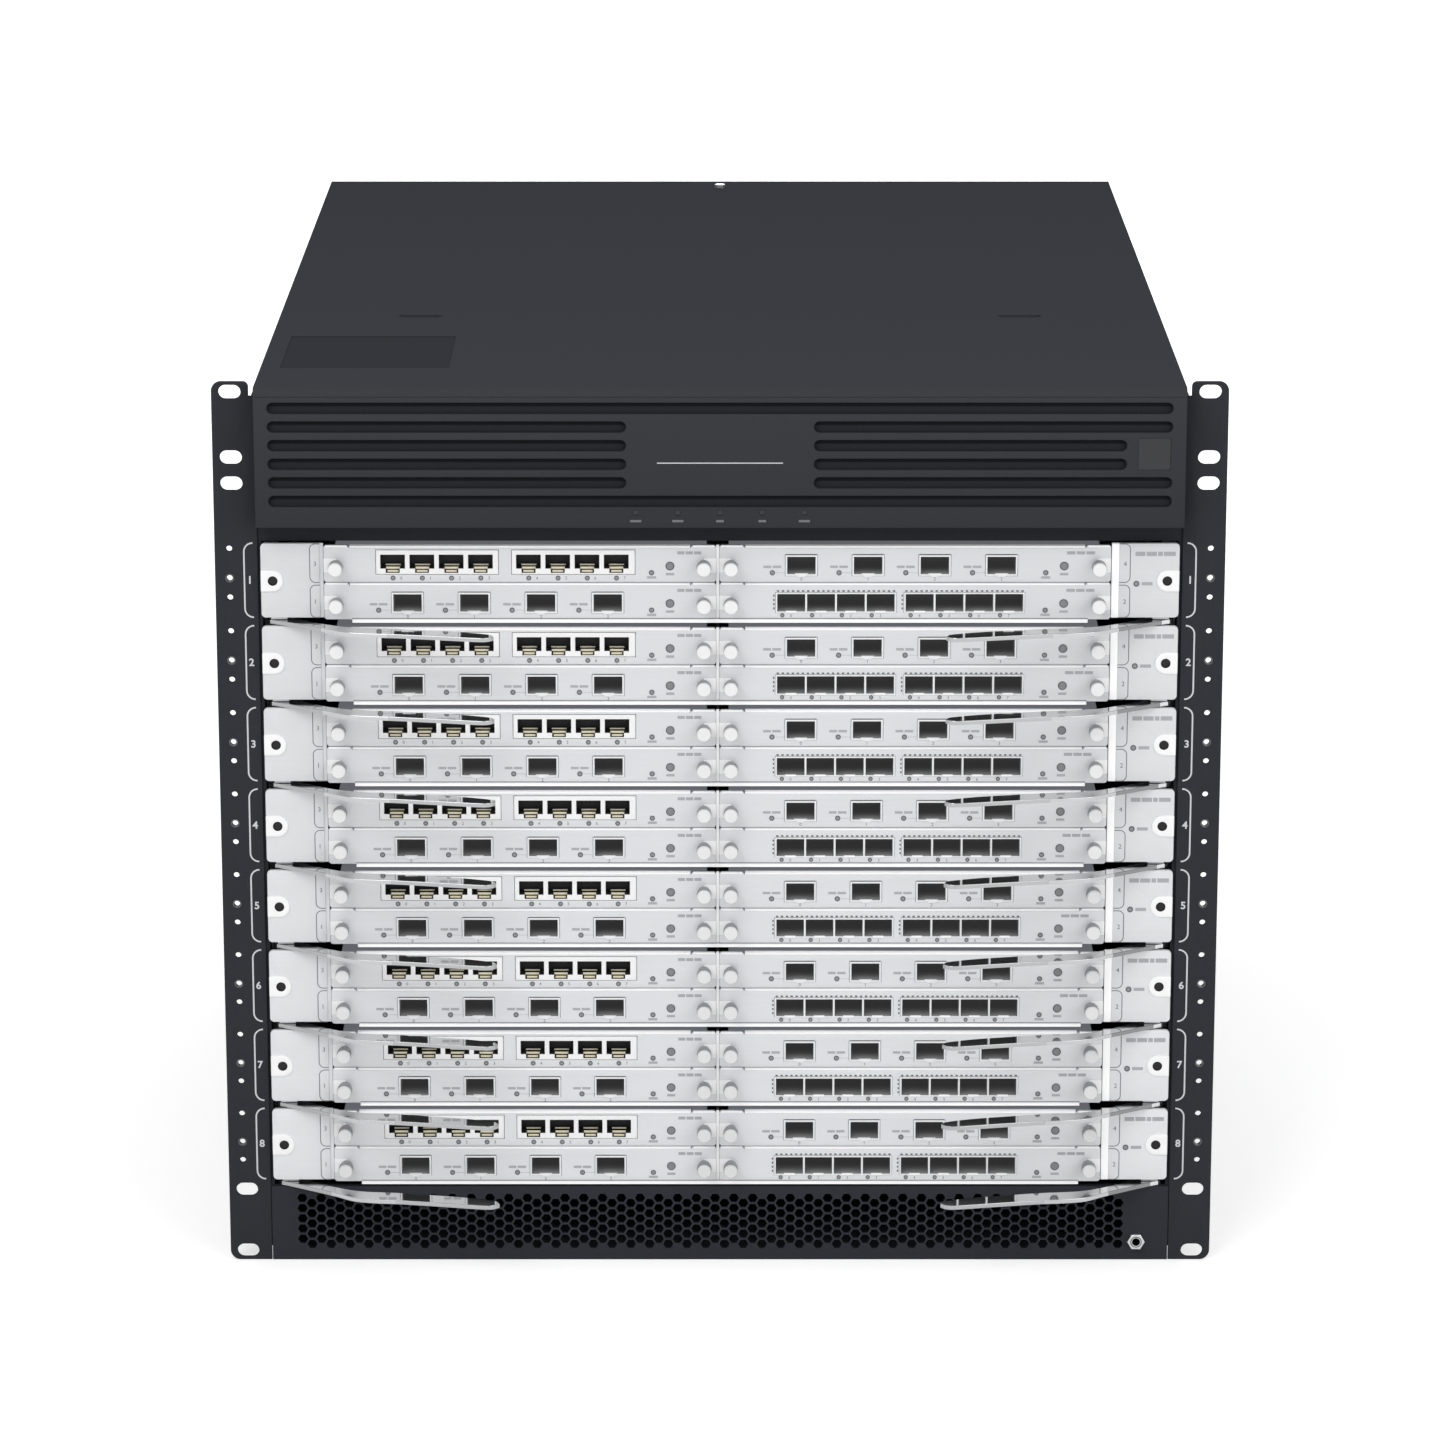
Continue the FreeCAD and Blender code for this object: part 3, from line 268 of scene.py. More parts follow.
def grown(loop, by):
    """The loop moved outwards by a distance."""
    if not by:
        return loop
    made = []
    for i, (x, y) in enumerate(loop):
        before = loop[i - 1]
        after = loop[(i + 1) % len(loop)]
        first = Vector((y - before[1], before[0] - x)).normalized()
        second = Vector((after[1] - y, x - after[0])).normalized()
        out = (first + second) / (1 + first.dot(second))
        made.append((x + out.x * by, y + out.y * by))
    return made


def circle(x, y, across, sides=20, turn=0.0):
    return [(x + across / 2 * math.cos(turn + math.tau * k / sides),
             y + across / 2 * math.sin(turn + math.tau * k / sides)) for k in range(sides)]


def rounded(left, right, low, high, radius=0.0, steps=5):
    """A rectangle with one radius, or with four, from the lower left corner round."""
    radii = radius if isinstance(radius, tuple) else (radius,) * 4
    corners = ((left, low, 1, 1, 180), (right, low, -1, 1, 270),
               (right, high, -1, -1, 0), (left, high, 1, -1, 90))
    made = []
    for (x, y, over, above, start), r in zip(corners, radii):
        turns = [math.radians(start + 90 * k / steps) for k in range(steps + 1)] if r else [0]
        made += [(x + over * r + r * math.cos(t), y + above * r + r * math.sin(t)) for t in turns]
    return made


def hollow(loop, wall, depth=None, floor=None):
    """An opening in a panel. Without a depth it goes right through."""
    return loop, depth, wall, floor or wall


def obround(x, y, length, height):
    """A slot with round ends, a hair short of half circles so that no two corners meet."""
    return rounded(x - length / 2, x + length / 2, y - height / 2, y + height / 2, height / 2 - 1e-6, 8)


def raw_mesh(name, shape):
    mesh = bpy.data.meshes.new(name)
    mesh.from_pydata([tuple(p) for p in shape.points], [], shape.faces)
    return mesh


def linked(name, data):
    made = bpy.data.objects.new(name, data)
    bpy.context.scene.collection.objects.link(made)
    return made


def settled(name, body, mesh, nodes, sharp):
    """The mesh as one object on its body, in place of the CAD nodes."""
    mesh.name = name
    mesh.shade_smooth()
    mesh.set_sharp_from_angle(angle=math.radians(sharp))
    made = linked(name, mesh)
    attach(made, body)
    if nodes:
        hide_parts(*nodes)


def piece(name, body, shape, nodes, sharp=35):
    """The gathered faces as one finished object on its body."""
    mesh = raw_mesh(name, shape)
    used = list(dict.fromkeys(shape.finishes))
    for material in used:
        mesh.materials.append(material)
    for polygon, material in zip(mesh.polygons, shape.finishes):
        polygon.material_index = used.index(material)
    form = bmesh.new()
    form.from_mesh(mesh)
    bmesh.ops.remove_doubles(form, verts=form.verts, dist=1e-7)
    form.to_mesh(mesh)
    form.free()
    settled(name, body, mesh, nodes, sharp)


PRINT = 0.03 * MM


def bar(shape, left, right, low, high, material):
    """A printed bar, which like all print stands a hair in front of its face."""
    shape.face(shape.ring([(left, low), (right, low), (right, high), (left, high)], -PRINT), material)


bezel_low, bezel_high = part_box("front_bezel")
FACE = bezel_low.y
half = bezel_high.x


def bezel_tone(x, y, z):
    """Painted light: lighter towards the brow."""
    return 1.0 + (z - bezel_low.z) * (0.22 / (bezel_high.z - bezel_low.z))


bezel_paint = finish("bezel_paint", tone(59, 60, 64), rough=0.5, grain=(1800, 1800, 1800), shade=0.06,
                     relief=PAINT_RELIEF, change=bezel_tone, gloss=0.0)
window_glass = finish("window_smoked", tone(22, 23, 28), rough=0.25, shade=0.05)
print_grey = finish("print_grey", tone(110, 112, 116), rough=0.6, shade=0.03)
print_white = finish("print_white", tone(214, 216, 218), rough=0.6, shade=0.03)
lamp_dark = finish("lamp_dark", tone(14, 14, 16), rough=0.2, shade=0.05)
GROOVE_HEIGHT = 5.3 * MM
GROOVE_PITCH = 9.0 * MM
GROOVE_FIRST = bezel_low.z + 13.0 * MM
GROOVE_END = 214 * MM
GROOVE_DEPTH = 3 * MM
BREAK = 44.5 * MM
WINDOW_BREAK = 192.4 * MM
WINDOW_X = (198 * MM, 213 * MM)
WINDOW_Z = (bezel_low.z + 28.3 * MM, bezel_low.z + 43.3 * MM)
WINDOW_DEPTH = 0.8 * MM


def groove_tone(x, y, z):
    """Painted shade on each groove's upper part."""
    within = (z - (GROOVE_FIRST - GROOVE_PITCH / 2)).maths("FLOORED_MODULO", GROOVE_PITCH)
    return 1.0 - 0.45 * (within > GROOVE_PITCH / 2 + 0.4 * MM)


# The grooves are painted darker than the face, painted shade in the recesses, darker still in their upper
# part.
groove_recess_shade = finish("groove_recess_shade", tone(50, 51, 55), rough=0.6, shade=0.08, change=groove_tone, gloss=0.0)
LAMPS = range(-2, 3)
LAMP_STEP = 20 * MM
LAMP_LEVEL = bezel_low.z + 7.4 * MM
BROW = 4 * MM
hood = Shape((0, FACE, 0))
openings = []
for row in range(6):
    level = GROOVE_FIRST + row * GROOVE_PITCH
    beside_window = row in (2, 3)
    spans = [(-GROOVE_END, -BREAK), (BREAK, WINDOW_BREAK if beside_window else GROOVE_END)]
    if row in (0, 5):
        spans = [(-GROOVE_END, GROOVE_END)]
    for left, right in spans:
        loop = obround((left + right) / 2, level, right - left, GROOVE_HEIGHT)
        openings.append(hollow(loop, groove_recess_shade, GROOVE_DEPTH))
window = rounded(*WINDOW_X, *WINDOW_Z, 0.8 * MM)
openings.append(hollow(window, window_glass, WINDOW_DEPTH))
for n in LAMPS:
    openings.append(hollow(circle(n * LAMP_STEP, LAMP_LEVEL, 2.5 * MM, 16), lamp_dark, 1.2 * MM))
depth = bezel_high.y - FACE
front_face = rounded(-half, half, bezel_low.z, bezel_high.z - BROW)
hood.panel(front_face, depth, bezel_paint, openings, lip=0.7 * MM)
brow = [(BROW * math.sin(math.radians(a)), BROW * math.cos(math.radians(a))) for a in range(0, 91, 10)]
hood.look((half, FACE + BROW, bezel_high.z - BROW), (0, 1, 0), (0, 0, 1))
section = [(depth - BROW, 0), (depth - BROW, BROW)] + [(-a, b) for a, b in brow]
hood.panel(section, 2 * half, bezel_paint)
hood.look((0, FACE, 0))
for n in LAMPS:
    middle = n * LAMP_STEP
    wide = 1.8 * MM if n in (0, 1) else 2.6 * MM
    bar(hood, middle - wide, middle + wide, LAMP_LEVEL - 4.4 * MM, LAMP_LEVEL - 3.3 * MM, print_grey)
RULE_LEVEL = bezel_low.z + 31.7 * MM
bar(hood, -29.8 * MM, 29.8 * MM, RULE_LEVEL - 0.25 * MM, RULE_LEVEL + 0.25 * MM, print_white)
piece("bezel_hood", "chassis", hood, ["front_bezel"])

# Rack ears: bent steel brackets in the chassis paint, with five rack slots each. Beside each carrier
# slot stand two small holes and a pressed nut, with a bracket and a number printed in white.
ear_low, ear_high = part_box("rack_ear_right")
EAR = ear_low.y
SLOTS = 8
SLOT_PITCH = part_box("carrier_1")[0].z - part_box("carrier_2")[0].z
SLOT_ONE = ear_low.z + 326.9 * MM
ear_paint = finish("ear_paint", tone(57, 58, 63), rough=0.5, grain=PAINT_GRAIN, shade=0.06,
                   relief=PAINT_RELIEF, gloss=0.0)
nut_dark = finish("nut_dark", tone(92, 92, 94), rough=0.3, metal=0.6, shade=0.05)


def numeral(shape, text, x, y, height, material, bold=0.0):
    """A plain number printed on the view, centred on (x, y)."""
    curve = bpy.data.curves.new("number", "FONT")
    curve.body = text
    curve.offset = bold
    holder = linked("number", curve)
    mesh = bpy.data.meshes.new_from_object(holder.evaluated_get(bpy.context.evaluated_depsgraph_get()))
    xs = [v.co.x for v in mesh.vertices]
    ys = [v.co.y for v in mesh.vertices]
    scale = height / (max(ys) - min(ys))
    middle = (min(xs) + max(xs)) / 2, (min(ys) + max(ys)) / 2
    ring = shape.ring([(x + (v.co.x - middle[0]) * scale, y + (v.co.y - middle[1]) * scale)
                       for v in mesh.vertices], -PRINT)
    for polygon in mesh.polygons:
        shape.face([ring[i] for i in polygon.vertices], material)
    bpy.data.objects.remove(holder)
    bpy.data.curves.remove(curve)
    bpy.data.meshes.remove(mesh)


def stroke(shape, path, width, material):
    """A printed line along the path."""
    sides = []
    for i, (x, y) in enumerate(path):
        before = path[max(i - 1, 0)]
        after = path[min(i + 1, len(path) - 1)]
        along = Vector((after[0] - before[0], after[1] - before[1])).normalized()
        sides.append(((x + along.y * width / 2, y - along.x * width / 2),
                      (x - along.y * width / 2, y + along.x * width / 2)))
    ring = shape.ring([p for pair in sides for p in pair], -PRINT)
    for a in range(0, len(ring) - 2, 2):
        shape.face([ring[a], ring[a + 2], ring[a + 3], ring[a + 1]], material)


def mirrored(loop, side):
    """The loop as it was drawn, or for side -1 turned over to the object's other side."""
    return loop if side > 0 else [(-x, y) for x, y in reversed(loop)]


EAR_INNER = 220.9 * MM
EAR_THICK = 2 * MM
RACK_COLUMN = 232.55 * MM
RACK_LEVELS = (4.78, 36.53, 392.13, 404.83, 436.58)
HOLE_COLUMN = 234.3 * MM
HOLE_LEVELS = (9.4, 33.4)
NUT_LEVEL = 19.0 * MM
NUT_PROUD = 0.25 * MM
NOTCH = (2.8 * MM, 7 * MM)
BEND = 2.5 * MM
HOOK = 4.2 * MM
HOOK_LINE = 227.3 * MM
HOOK_LEVELS = (-0.3 * MM, 36.2 * MM)
NUMBER_PLACE = (224.7 * MM, 18.1 * MM)
quarter = [math.radians(a) for a in range(0, 91, 15)]
notch_x, notch_z = EAR_INNER + NOTCH[0], ear_high.z - NOTCH[1]
outline = rounded(EAR_INNER, ear_high.x, ear_low.z, ear_high.z, (0, 5 * MM, 4.5 * MM, 0), 8)
outline = outline[:-1] + [(notch_x + BEND * (1 - math.cos(a)), ear_high.z - BEND * (1 - math.sin(a)))
                          for a in reversed(quarter)] + [(notch_x, notch_z), (EAR_INNER, notch_z)]
for side, name in ((-1, "left"), (1, "right")):
    ear = Shape((0, EAR, 0))
    holes = []
    for level in RACK_LEVELS:
        holes.append(hollow(obround(side * RACK_COLUMN, level * MM, 10.6 * MM, 6.8 * MM), ear_paint))
    for n in range(SLOTS):
        base = SLOT_ONE - n * SLOT_PITCH
        for level in HOLE_LEVELS:
            holes.append(hollow(circle(side * HOLE_COLUMN, base + level * MM, 2.9 * MM, 16), ear_paint))
        holes.append(hollow(circle(side * HOLE_COLUMN, base + NUT_LEVEL, 2.8 * MM, 16), nut_dark))
    ear.panel(mirrored(outline, side), EAR_THICK, ear_paint, holes, lip=0.25 * MM, steps=2)
    for n in range(SLOTS):
        base = SLOT_ONE - n * SLOT_PITCH
        centre = side * HOLE_COLUMN, base + NUT_LEVEL
        ear.look((0, EAR - NUT_PROUD, 0))
        ear.panel(circle(*centre, 4.3 * MM), 0.3 * MM, nut_dark,
                  [hollow(circle(*centre, 2.9 * MM), nut_dark)], lip=0.1 * MM, steps=2)
        ear.look((0, EAR, 0))
        bottom, top = (base + level for level in HOOK_LEVELS)
        path = [(HOOK_LINE - HOOK * (1 - math.sin(a)), bottom + HOOK * (1 - math.cos(a))) for a in quarter]
        path += [(HOOK_LINE - HOOK * (1 - math.cos(a)), top - HOOK * (1 - math.sin(a))) for a in quarter]
        stroke(ear, mirrored(path, side), 0.75 * MM, print_white)
        numeral(ear, str(n + 1), side * NUMBER_PLACE[0], base + NUMBER_PLACE[1], 3.8 * MM, print_white,
                bold=0.025)
    ear.look((side * (half + 2.0 * MM), 0, 0), (0, side, 0))
    near, far = sorted((side * (EAR + 1 * MM), side * (EAR + 38 * MM)))
    ear.panel(rounded(near, far, ear_low.z + 7 * MM, ear_high.z - 7 * MM), 1.9 * MM, ear_paint)
    piece(f"ear_{name}", "chassis", ear, [f"rack_ear_{name}"])

# Intake panel: perforated steel in the chassis paint, hexagons in staggered columns at the true pitch.
# One tile with a hole is repeated by instancing. A plain sheet, cut to the field's stepped edge and
# with a round hole for the ground socket, surrounds it.
panel_low, panel_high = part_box("intake_panel")
HEX_RISE = 5.33 * MM
HEX_STEP = HEX_RISE * math.cos(math.radians(30))
HEX_HOLE = 4.4 * MM
FIELD_LEFT = -205.5 * MM
HEX_COLUMNS = 88
HEX_ROWS = 5
HEX_LOW = panel_low.z + 10.7 * MM
SHEET = panel_high.y - panel_low.y
mesh_paint = finish("intake_paint", tone(50, 52, 58), rough=0.55, grain=PAINT_GRAIN, shade=0.06, gloss=0.08)


def repeated(name, form, places, material):
    """The form set at each place by a Geometry Nodes group, returned as a plain mesh."""
    points = bpy.data.meshes.new(name + "_places")
    points.from_pydata([tuple(p) for p in places], [], [])
    holder = linked(name + "_holder", points)
    tree = bpy.data.node_groups.new(name + "_repeat", "GeometryNodeTree")
    tree.interface.new_socket("Places", in_out="INPUT", socket_type="NodeSocketGeometry")
    form_socket = tree.interface.new_socket("Form", in_out="INPUT", socket_type="NodeSocketObject")
    finish_socket = tree.interface.new_socket("Finish", in_out="INPUT", socket_type="NodeSocketMaterial")
    tree.interface.new_socket("Geometry", in_out="OUTPUT", socket_type="NodeSocketGeometry")
    start = tree.nodes.new("NodeGroupInput")
    info = tree.nodes.new("GeometryNodeObjectInfo")
    instances = tree.nodes.new("GeometryNodeInstanceOnPoints")
    real = tree.nodes.new("GeometryNodeRealizeInstances")
    paint = tree.nodes.new("GeometryNodeSetMaterial")
    end = tree.nodes.new("NodeGroupOutput")
    tree.links.new(start.outputs["Places"], instances.inputs["Points"])
    tree.links.new(start.outputs["Form"], info.inputs["Object"])
    tree.links.new(info.outputs["Geometry"], instances.inputs["Instance"])
    tree.links.new(instances.outputs["Instances"], real.inputs["Geometry"])
    tree.links.new(real.outputs["Geometry"], paint.inputs["Geometry"])
    tree.links.new(start.outputs["Finish"], paint.inputs["Material"])
    tree.links.new(paint.outputs["Geometry"], end.inputs["Geometry"])
    grid = holder.modifiers.new("repeat", "NODES")
    grid.node_group = tree
    grid[form_socket.identifier] = form
    grid[finish_socket.identifier] = material
    made = bpy.data.meshes.new_from_object(holder.evaluated_get(bpy.context.evaluated_depsgraph_get()))
    bpy.data.objects.remove(holder)
    return made


def column_foot(column):
    """The middle of a column's lowest hexagon. Odd columns stand half a pitch lower."""
    return FIELD_LEFT + column * HEX_STEP, HEX_LOW - (HEX_RISE / 2 if column % 2 else 0)


cell = HEX_RISE / math.cos(math.radians(30))
hole = HEX_HOLE / math.cos(math.radians(30))
tile = Shape()
rims = [tile.ring(circle(0, 0, across, 6), depth)
        for across, depth in ((cell, 0), (hole, 0), (hole, SHEET), (cell, SHEET))]
for first, second in zip(rims, rims[1:]):
    tile.wall(second, first, None)
tile_form = linked("hex_tile", raw_mesh("hex_tile", tile))
places = []
for column in range(HEX_COLUMNS):
    x, low = column_foot(column)
    places += [(x, panel_low.y, low + k * HEX_RISE) for k in range(HEX_ROWS)]
grille = repeated("grille", tile_form, places, mesh_paint)
settled("intake_grille", "chassis", grille, (), sharp=20)
jagged = []
for column in range(HEX_COLUMNS):
    x, low = column_foot(column)
    jagged += [(x - cell / 4, low - HEX_RISE / 2), (x + cell / 4, low - HEX_RISE / 2)]
last_x, last_low = column_foot(HEX_COLUMNS - 1)
for k in range(HEX_ROWS):
    low = last_low + k * HEX_RISE
    jagged += [(last_x + cell / 2, low), (last_x + cell / 4, low + HEX_RISE / 2)]
for column in reversed(range(HEX_COLUMNS)):
    x, low = column_foot(column)
    high = low + (HEX_ROWS - 0.5) * HEX_RISE
    jagged += [(x + cell / 4, high), (x - cell / 4, high)]
for k in reversed(range(HEX_ROWS)):
    low = HEX_LOW + k * HEX_RISE
    jagged += [(FIELD_LEFT - cell / 2, low), (FIELD_LEFT - cell / 4, low - HEX_RISE / 2)]
jagged = [p for i, p in enumerate(jagged) if (Vector(p) - Vector(jagged[i - 1])).length > 1e-6]
bpy.data.objects.remove(tile_form)
JACK = (204.9 * MM, panel_low.z + 10.1 * MM)
JACK_HOLE = 6 * MM
surround = Shape((0, panel_low.y, 0))
surround.panel(rounded(panel_low.x, panel_high.x, panel_low.z, panel_high.z), SHEET, mesh_paint,
               [hollow(jagged, mesh_paint), hollow(circle(*JACK, JACK_HOLE), mesh_paint)])
piece("intake_surround", "chassis", surround, ["intake_panel"])

# Ground socket: a nickel plated hexagon nut on a turned barrel with an open bore.
nickel = finish("nickel", tone(205, 206, 208), rough=0.2, metal=0.95, shade=0.04)
jack = Shape((0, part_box("ground_jack")[0].y, 0))
bore = circle(*JACK, 4 * MM, 24)
nut, barrel = circle(*JACK, 8.8 * MM, 6), circle(*JACK, 5.8 * MM, 24)
jack.panel(nut, 3 * MM, nickel, [hollow(bore, lamp_dark)], lip=0.4 * MM)
jack.panel(barrel, 13.4 * MM, nickel, [hollow(bore, lamp_dark, 12.5 * MM)], lip=0.1 * MM)
piece("ground_socket", "chassis", jack, ["ground_jack"])

# Slot carriers: zinc plated trays with brushed face plates, raised white screw pads, a white trim
# strip and lip, engraved tab outlines with numbers, a ready lamp and bare grey bars for labels. The
# tray's folds, plug and pivot pins are drawn closed, each as a block of its own.
def plate_tone(x, y, z):
    """Painted light: a little brighter from slot to slot downwards."""
    return 0.98 + (SLOT_ONE - z) * 0.4


plate_steel = finish("plate_brushed", tone(226, 228, 230), rough=0.5, metal=0.1, grain=(12, 60, 2600),
                     shade=0.035, change=plate_tone)
WHITE_LOOK = {"colour": tone(253, 253, 253), "rough": 0.5, "grain": (300, 300, 300), "shade": 0.015}
# Both whites glow a little, painted light for stray light, the second more than the first.
pad_glow_white = finish("pad_glow_white", **WHITE_LOOK, glow=0.06)
trim_glow_white = finish("trim_glow_white", **WHITE_LOOK, glow=0.2)
seam_grey = finish("seam_grey", tone(132, 134, 138), rough=0.6, shade=0.03)
# Near black for the screw holes' walls and floors: painted shade for the dark holes.
hole_painted_shade = finish("hole_painted_shade", tone(8, 8, 9), rough=0.7, shade=0.05)
lamp_ring = finish("lamp_ring", tone(92, 94, 97), rough=0.4, shade=0.05)
lamp_lens = finish("lamp_lens", tone(150, 152, 154), rough=0.25, shade=0.05)
button_grey = finish("button_grey", tone(141, 142, 144), rough=0.5, shade=0.04, gloss=0.2)
label_grey = finish("label_grey", tone(176, 178, 181), rough=0.6, shade=0.03)
PLATE = EAR - EAR_THICK
PLATE_HEIGHT = 36.4 * MM
PLATE_OUTER = 219.3 * MM
SCREW_X = 213.6 * MM
SCREW_Z = 18.2 * MM
TAB_LINE = 195.8 * MM
TAB_RADIUS = 2.6 * MM


def dark_rim(shape, x, y, across, inner, depth, floor, sides):
    """A round dark rim a little in front of the face, with a shallow hollow."""
    shape.panel(circle(x, y, across, sides), 0.3 * MM, lamp_ring,
                [hollow(circle(x, y, inner, sides), lamp_ring, depth, floor)], front=-0.15 * MM)


def status_lamp(shape, x, y, across):
    """A light pipe: a dark rim round a pale lens."""
    dark_rim(shape, x, y, across, 0.62 * across, 0.1 * MM, lamp_lens, 18)


def tab_outline(shape, side, low, high, edge):
    """An engraved line round three sides of a tab, open at the plate's inner edge."""
    turn, radius = TAB_LINE - TAB_RADIUS, TAB_RADIUS
    path = [(edge, low)]
    path += [(turn + radius * math.sin(a), low + radius - radius * math.cos(a)) for a in quarter]
    path += [(turn + radius * math.cos(a), high - radius + radius * math.sin(a)) for a in quarter]
    path += [(edge, high)]
    stroke(shape, mirrored(path, side), 0.4 * MM, print_grey)


plates = Shape((0, PLATE, SLOT_ONE))
for side, inner, numbers in ((-1, 191.2 * MM, "31"), (1, 190.6 * MM, "42")):
    screw_hole = circle(side * SCREW_X, SCREW_Z, 4.7 * MM)
    plate = rounded(inner, PLATE_OUTER, 0, PLATE_HEIGHT, (0, 2 * MM, 2 * MM, 0))
    plates.panel(mirrored(plate, side), 2 * MM, plate_steel, [hollow(screw_hole, hole_painted_shade)],
                 lip=0.25 * MM, steps=2)
    pad = rounded(208.7 * MM, PLATE_OUTER, 13.05 * MM, 23.35 * MM,
                  (5.1 * MM, 0.4 * MM, 0.4 * MM, 5.1 * MM), 8)
    plates.panel(mirrored(pad, side), 1.0 * MM, pad_glow_white, [hollow(screw_hole, hole_painted_shade, 0.95 * MM)],
                 lip=0.2 * MM, front=-1.0 * MM, steps=2)
    for number, level, low, high in ((numbers[0], 26.5, 17.3, 36.2), (numbers[1], 7.9, 0.1, 16.0)):
        tab_outline(plates, side, low * MM, high * MM, inner)
        numeral(plates, number, side * 193.4 * MM, level * MM, 2.2 * MM, print_grey)
status_lamp(plates, 198.9 * MM, 16.7 * MM, 2.9 * MM)
for left, right in ((198.2, 202.9), (203.5, 208.4), (209.0, 211.2), (211.8, 217.4)):
    bar(plates, left * MM, right * MM, 30.3 * MM, 32.4 * MM, label_grey)
bar(plates, 201.4 * MM, 206.6 * MM, 15.9 * MM, 17.5 * MM, label_grey)
plates.panel(rounded(187.0 * MM, 190.5 * MM, 0, PLATE_HEIGHT), 2 * MM, trim_glow_white, lip=0.2 * MM, steps=2)
plates.panel(rounded(-191.2 * MM, -189.4 * MM, 0, PLATE_HEIGHT), 1.2 * MM, plate_steel, front=0.8 * MM)
plates.panel(rounded(-1.8 * MM, -0.4 * MM, -0.8 * MM, 35.6 * MM), 1.0 * MM, pad_glow_white, front=0.4 * MM)
LIP_SIDE = 176 * MM
lip_loop = rounded(-LIP_SIDE, LIP_SIDE, -2.8 * MM, -1.0 * MM)
plates.panel(lip_loop, 2.2 * MM, trim_glow_white, lip=0.3 * MM, front=0.9 * MM)
bar(plates, -LIP_SIDE, LIP_SIDE, -0.6 * MM, -0.15 * MM, seam_grey)


def block(shape, x, y, z, material, lip=0.0):
    """A closed box between two corners, drawn on its front."""
    shape.look((0, y[0], 0))
    shape.panel(rounded(x[0], x[1], z[0], z[1]), y[1] - y[0], material, lip=lip, steps=2)


SHEET_STEEL = 1.2 * MM
TRAY_SIDE = 206 * MM
plug_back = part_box("carrier_1")[1].y
front, back = EAR + 0.1 * MM, plug_back - 6 * MM
bottom = (SLOT_ONE, SLOT_ONE + SHEET_STEEL)
walls = (bottom[1], SLOT_ONE + 34 * MM)
tray = Shape()
block(tray, (-216.5 * MM, 216.5 * MM), (front, back), bottom, zinc)
for left in (-TRAY_SIDE, -1.7 * MM, TRAY_SIDE - SHEET_STEEL):
    block(tray, (left, left + SHEET_STEEL), (front, back), walls, zinc)
block(tray, (-TRAY_SIDE, TRAY_SIDE), (back - SHEET_STEEL, back), walls, zinc)
block(tray, (-150 * MM, 150 * MM), (back, plug_back), (SLOT_ONE + 10.2 * MM, SLOT_ONE + 26.2 * MM),
      lamp_dark, 0.6 * MM)
PIVOT = (211 * MM, EAR + 5 * MM)
for side in (-1, 1):
    middle = side * PIVOT[0]
    block(tray, (middle - 3.9 * MM, middle + 3.9 * MM), (front, EAR + 8.9 * MM),
          (SLOT_ONE - 1.3 * MM, SLOT_ONE), zinc)
    tray.look((0, 0, SLOT_ONE - 3.75 * MM), (1, 0, 0), (0, -1, 0))
    tray.turned([(1.5 * MM, 0), (1.95 * MM, 0.3 * MM), (1.95 * MM, 2.5 * MM)], (middle, -PIVOT[1]), zinc)
for n in range(1, SLOTS + 1):
    drop = (n - 1) * SLOT_PITCH
    for name, form, nodes in (("face_plates", plates, ()), ("tray", tray, (f"carrier_{n}",))):
        piece(f"{name}_{n}", f"slot_carrier_{n}", form.lowered(drop), nodes)

# Interface modules: nickel plated steel faces with folded top flanges and taller end tabs. The copper
# module has two white gang frames with keyed sockets, the optic modules raised cage rims, the last one
# two ganged cages edged by spring fingers. Numbers are plain, words are bare grey bars.
def face_tone(x, y, z):
    """Painted light: a little brighter from slot to slot downwards."""
    return 1.05 + (z - SLOT_ONE - 40 * MM) * -0.22


module_steel = finish("module_steel", tone(214, 216, 218), rough=0.42, metal=0.25, grain=(20, 40, 900),
                      shade=0.025, change=face_tone)
# A white that also glows: painted light.
highlight_glow_white = finish("fold_painted_highlight", tone(253, 253, 253), rough=0.45, shade=0.01, glow=0.1)
frame_white = finish("gang_frame", tone(254, 254, 254), rough=0.45, shade=0.01)
socket_dark = finish("socket_dark", tone(30, 30, 31), rough=0.6, shade=0.08)
contact_gold = finish("contact_gold", tone(250, 243, 214), rough=0.3, metal=0.1, shade=0.04)
cage_rim = finish("cage_rim", tone(236, 237, 238), rough=0.3, metal=0.3, shade=0.02)
finger_dark = finish("finger_gap", tone(70, 71, 73), rough=0.5, shade=0.05)
MODULE = PLATE
TAB = 11 * MM


def cage_tone(x, y, z):
    """Painted light and shade: light at the mouth and dark 14 mm further in."""
    return (1.5 - (y - MODULE) * (1.2 / (14 * MM))).maths("MAXIMUM", 0.3)


def housing_glow(x, y, z):
    """Painted light: a glow on the front ends of the housings, for light that strays in."""
    return 0.12 * (y < MODULE + 32 * MM) * (y > MODULE + 3 * MM)


# The cage interior also glows faintly, painted light that lifts its black.
cage_dark = finish("cage_dark", tone(128, 128, 129), rough=0.45, metal=0.1, shade=0.1, change=cage_tone,
                   glow=0.022)
housing_skin = finish("housing_skin", **ZINC_LOOK, glow=housing_glow)
LOWER = SLOT_ONE - 0.9 * MM
UPPER = SLOT_ONE + 17.5 * MM
FACE_HIGH = 16.7 * MM
TAB_HIGH = 18.1 * MM
TAB_SLOPE = 1.2 * MM
HOUSING_BACK = EAR + 170 * MM


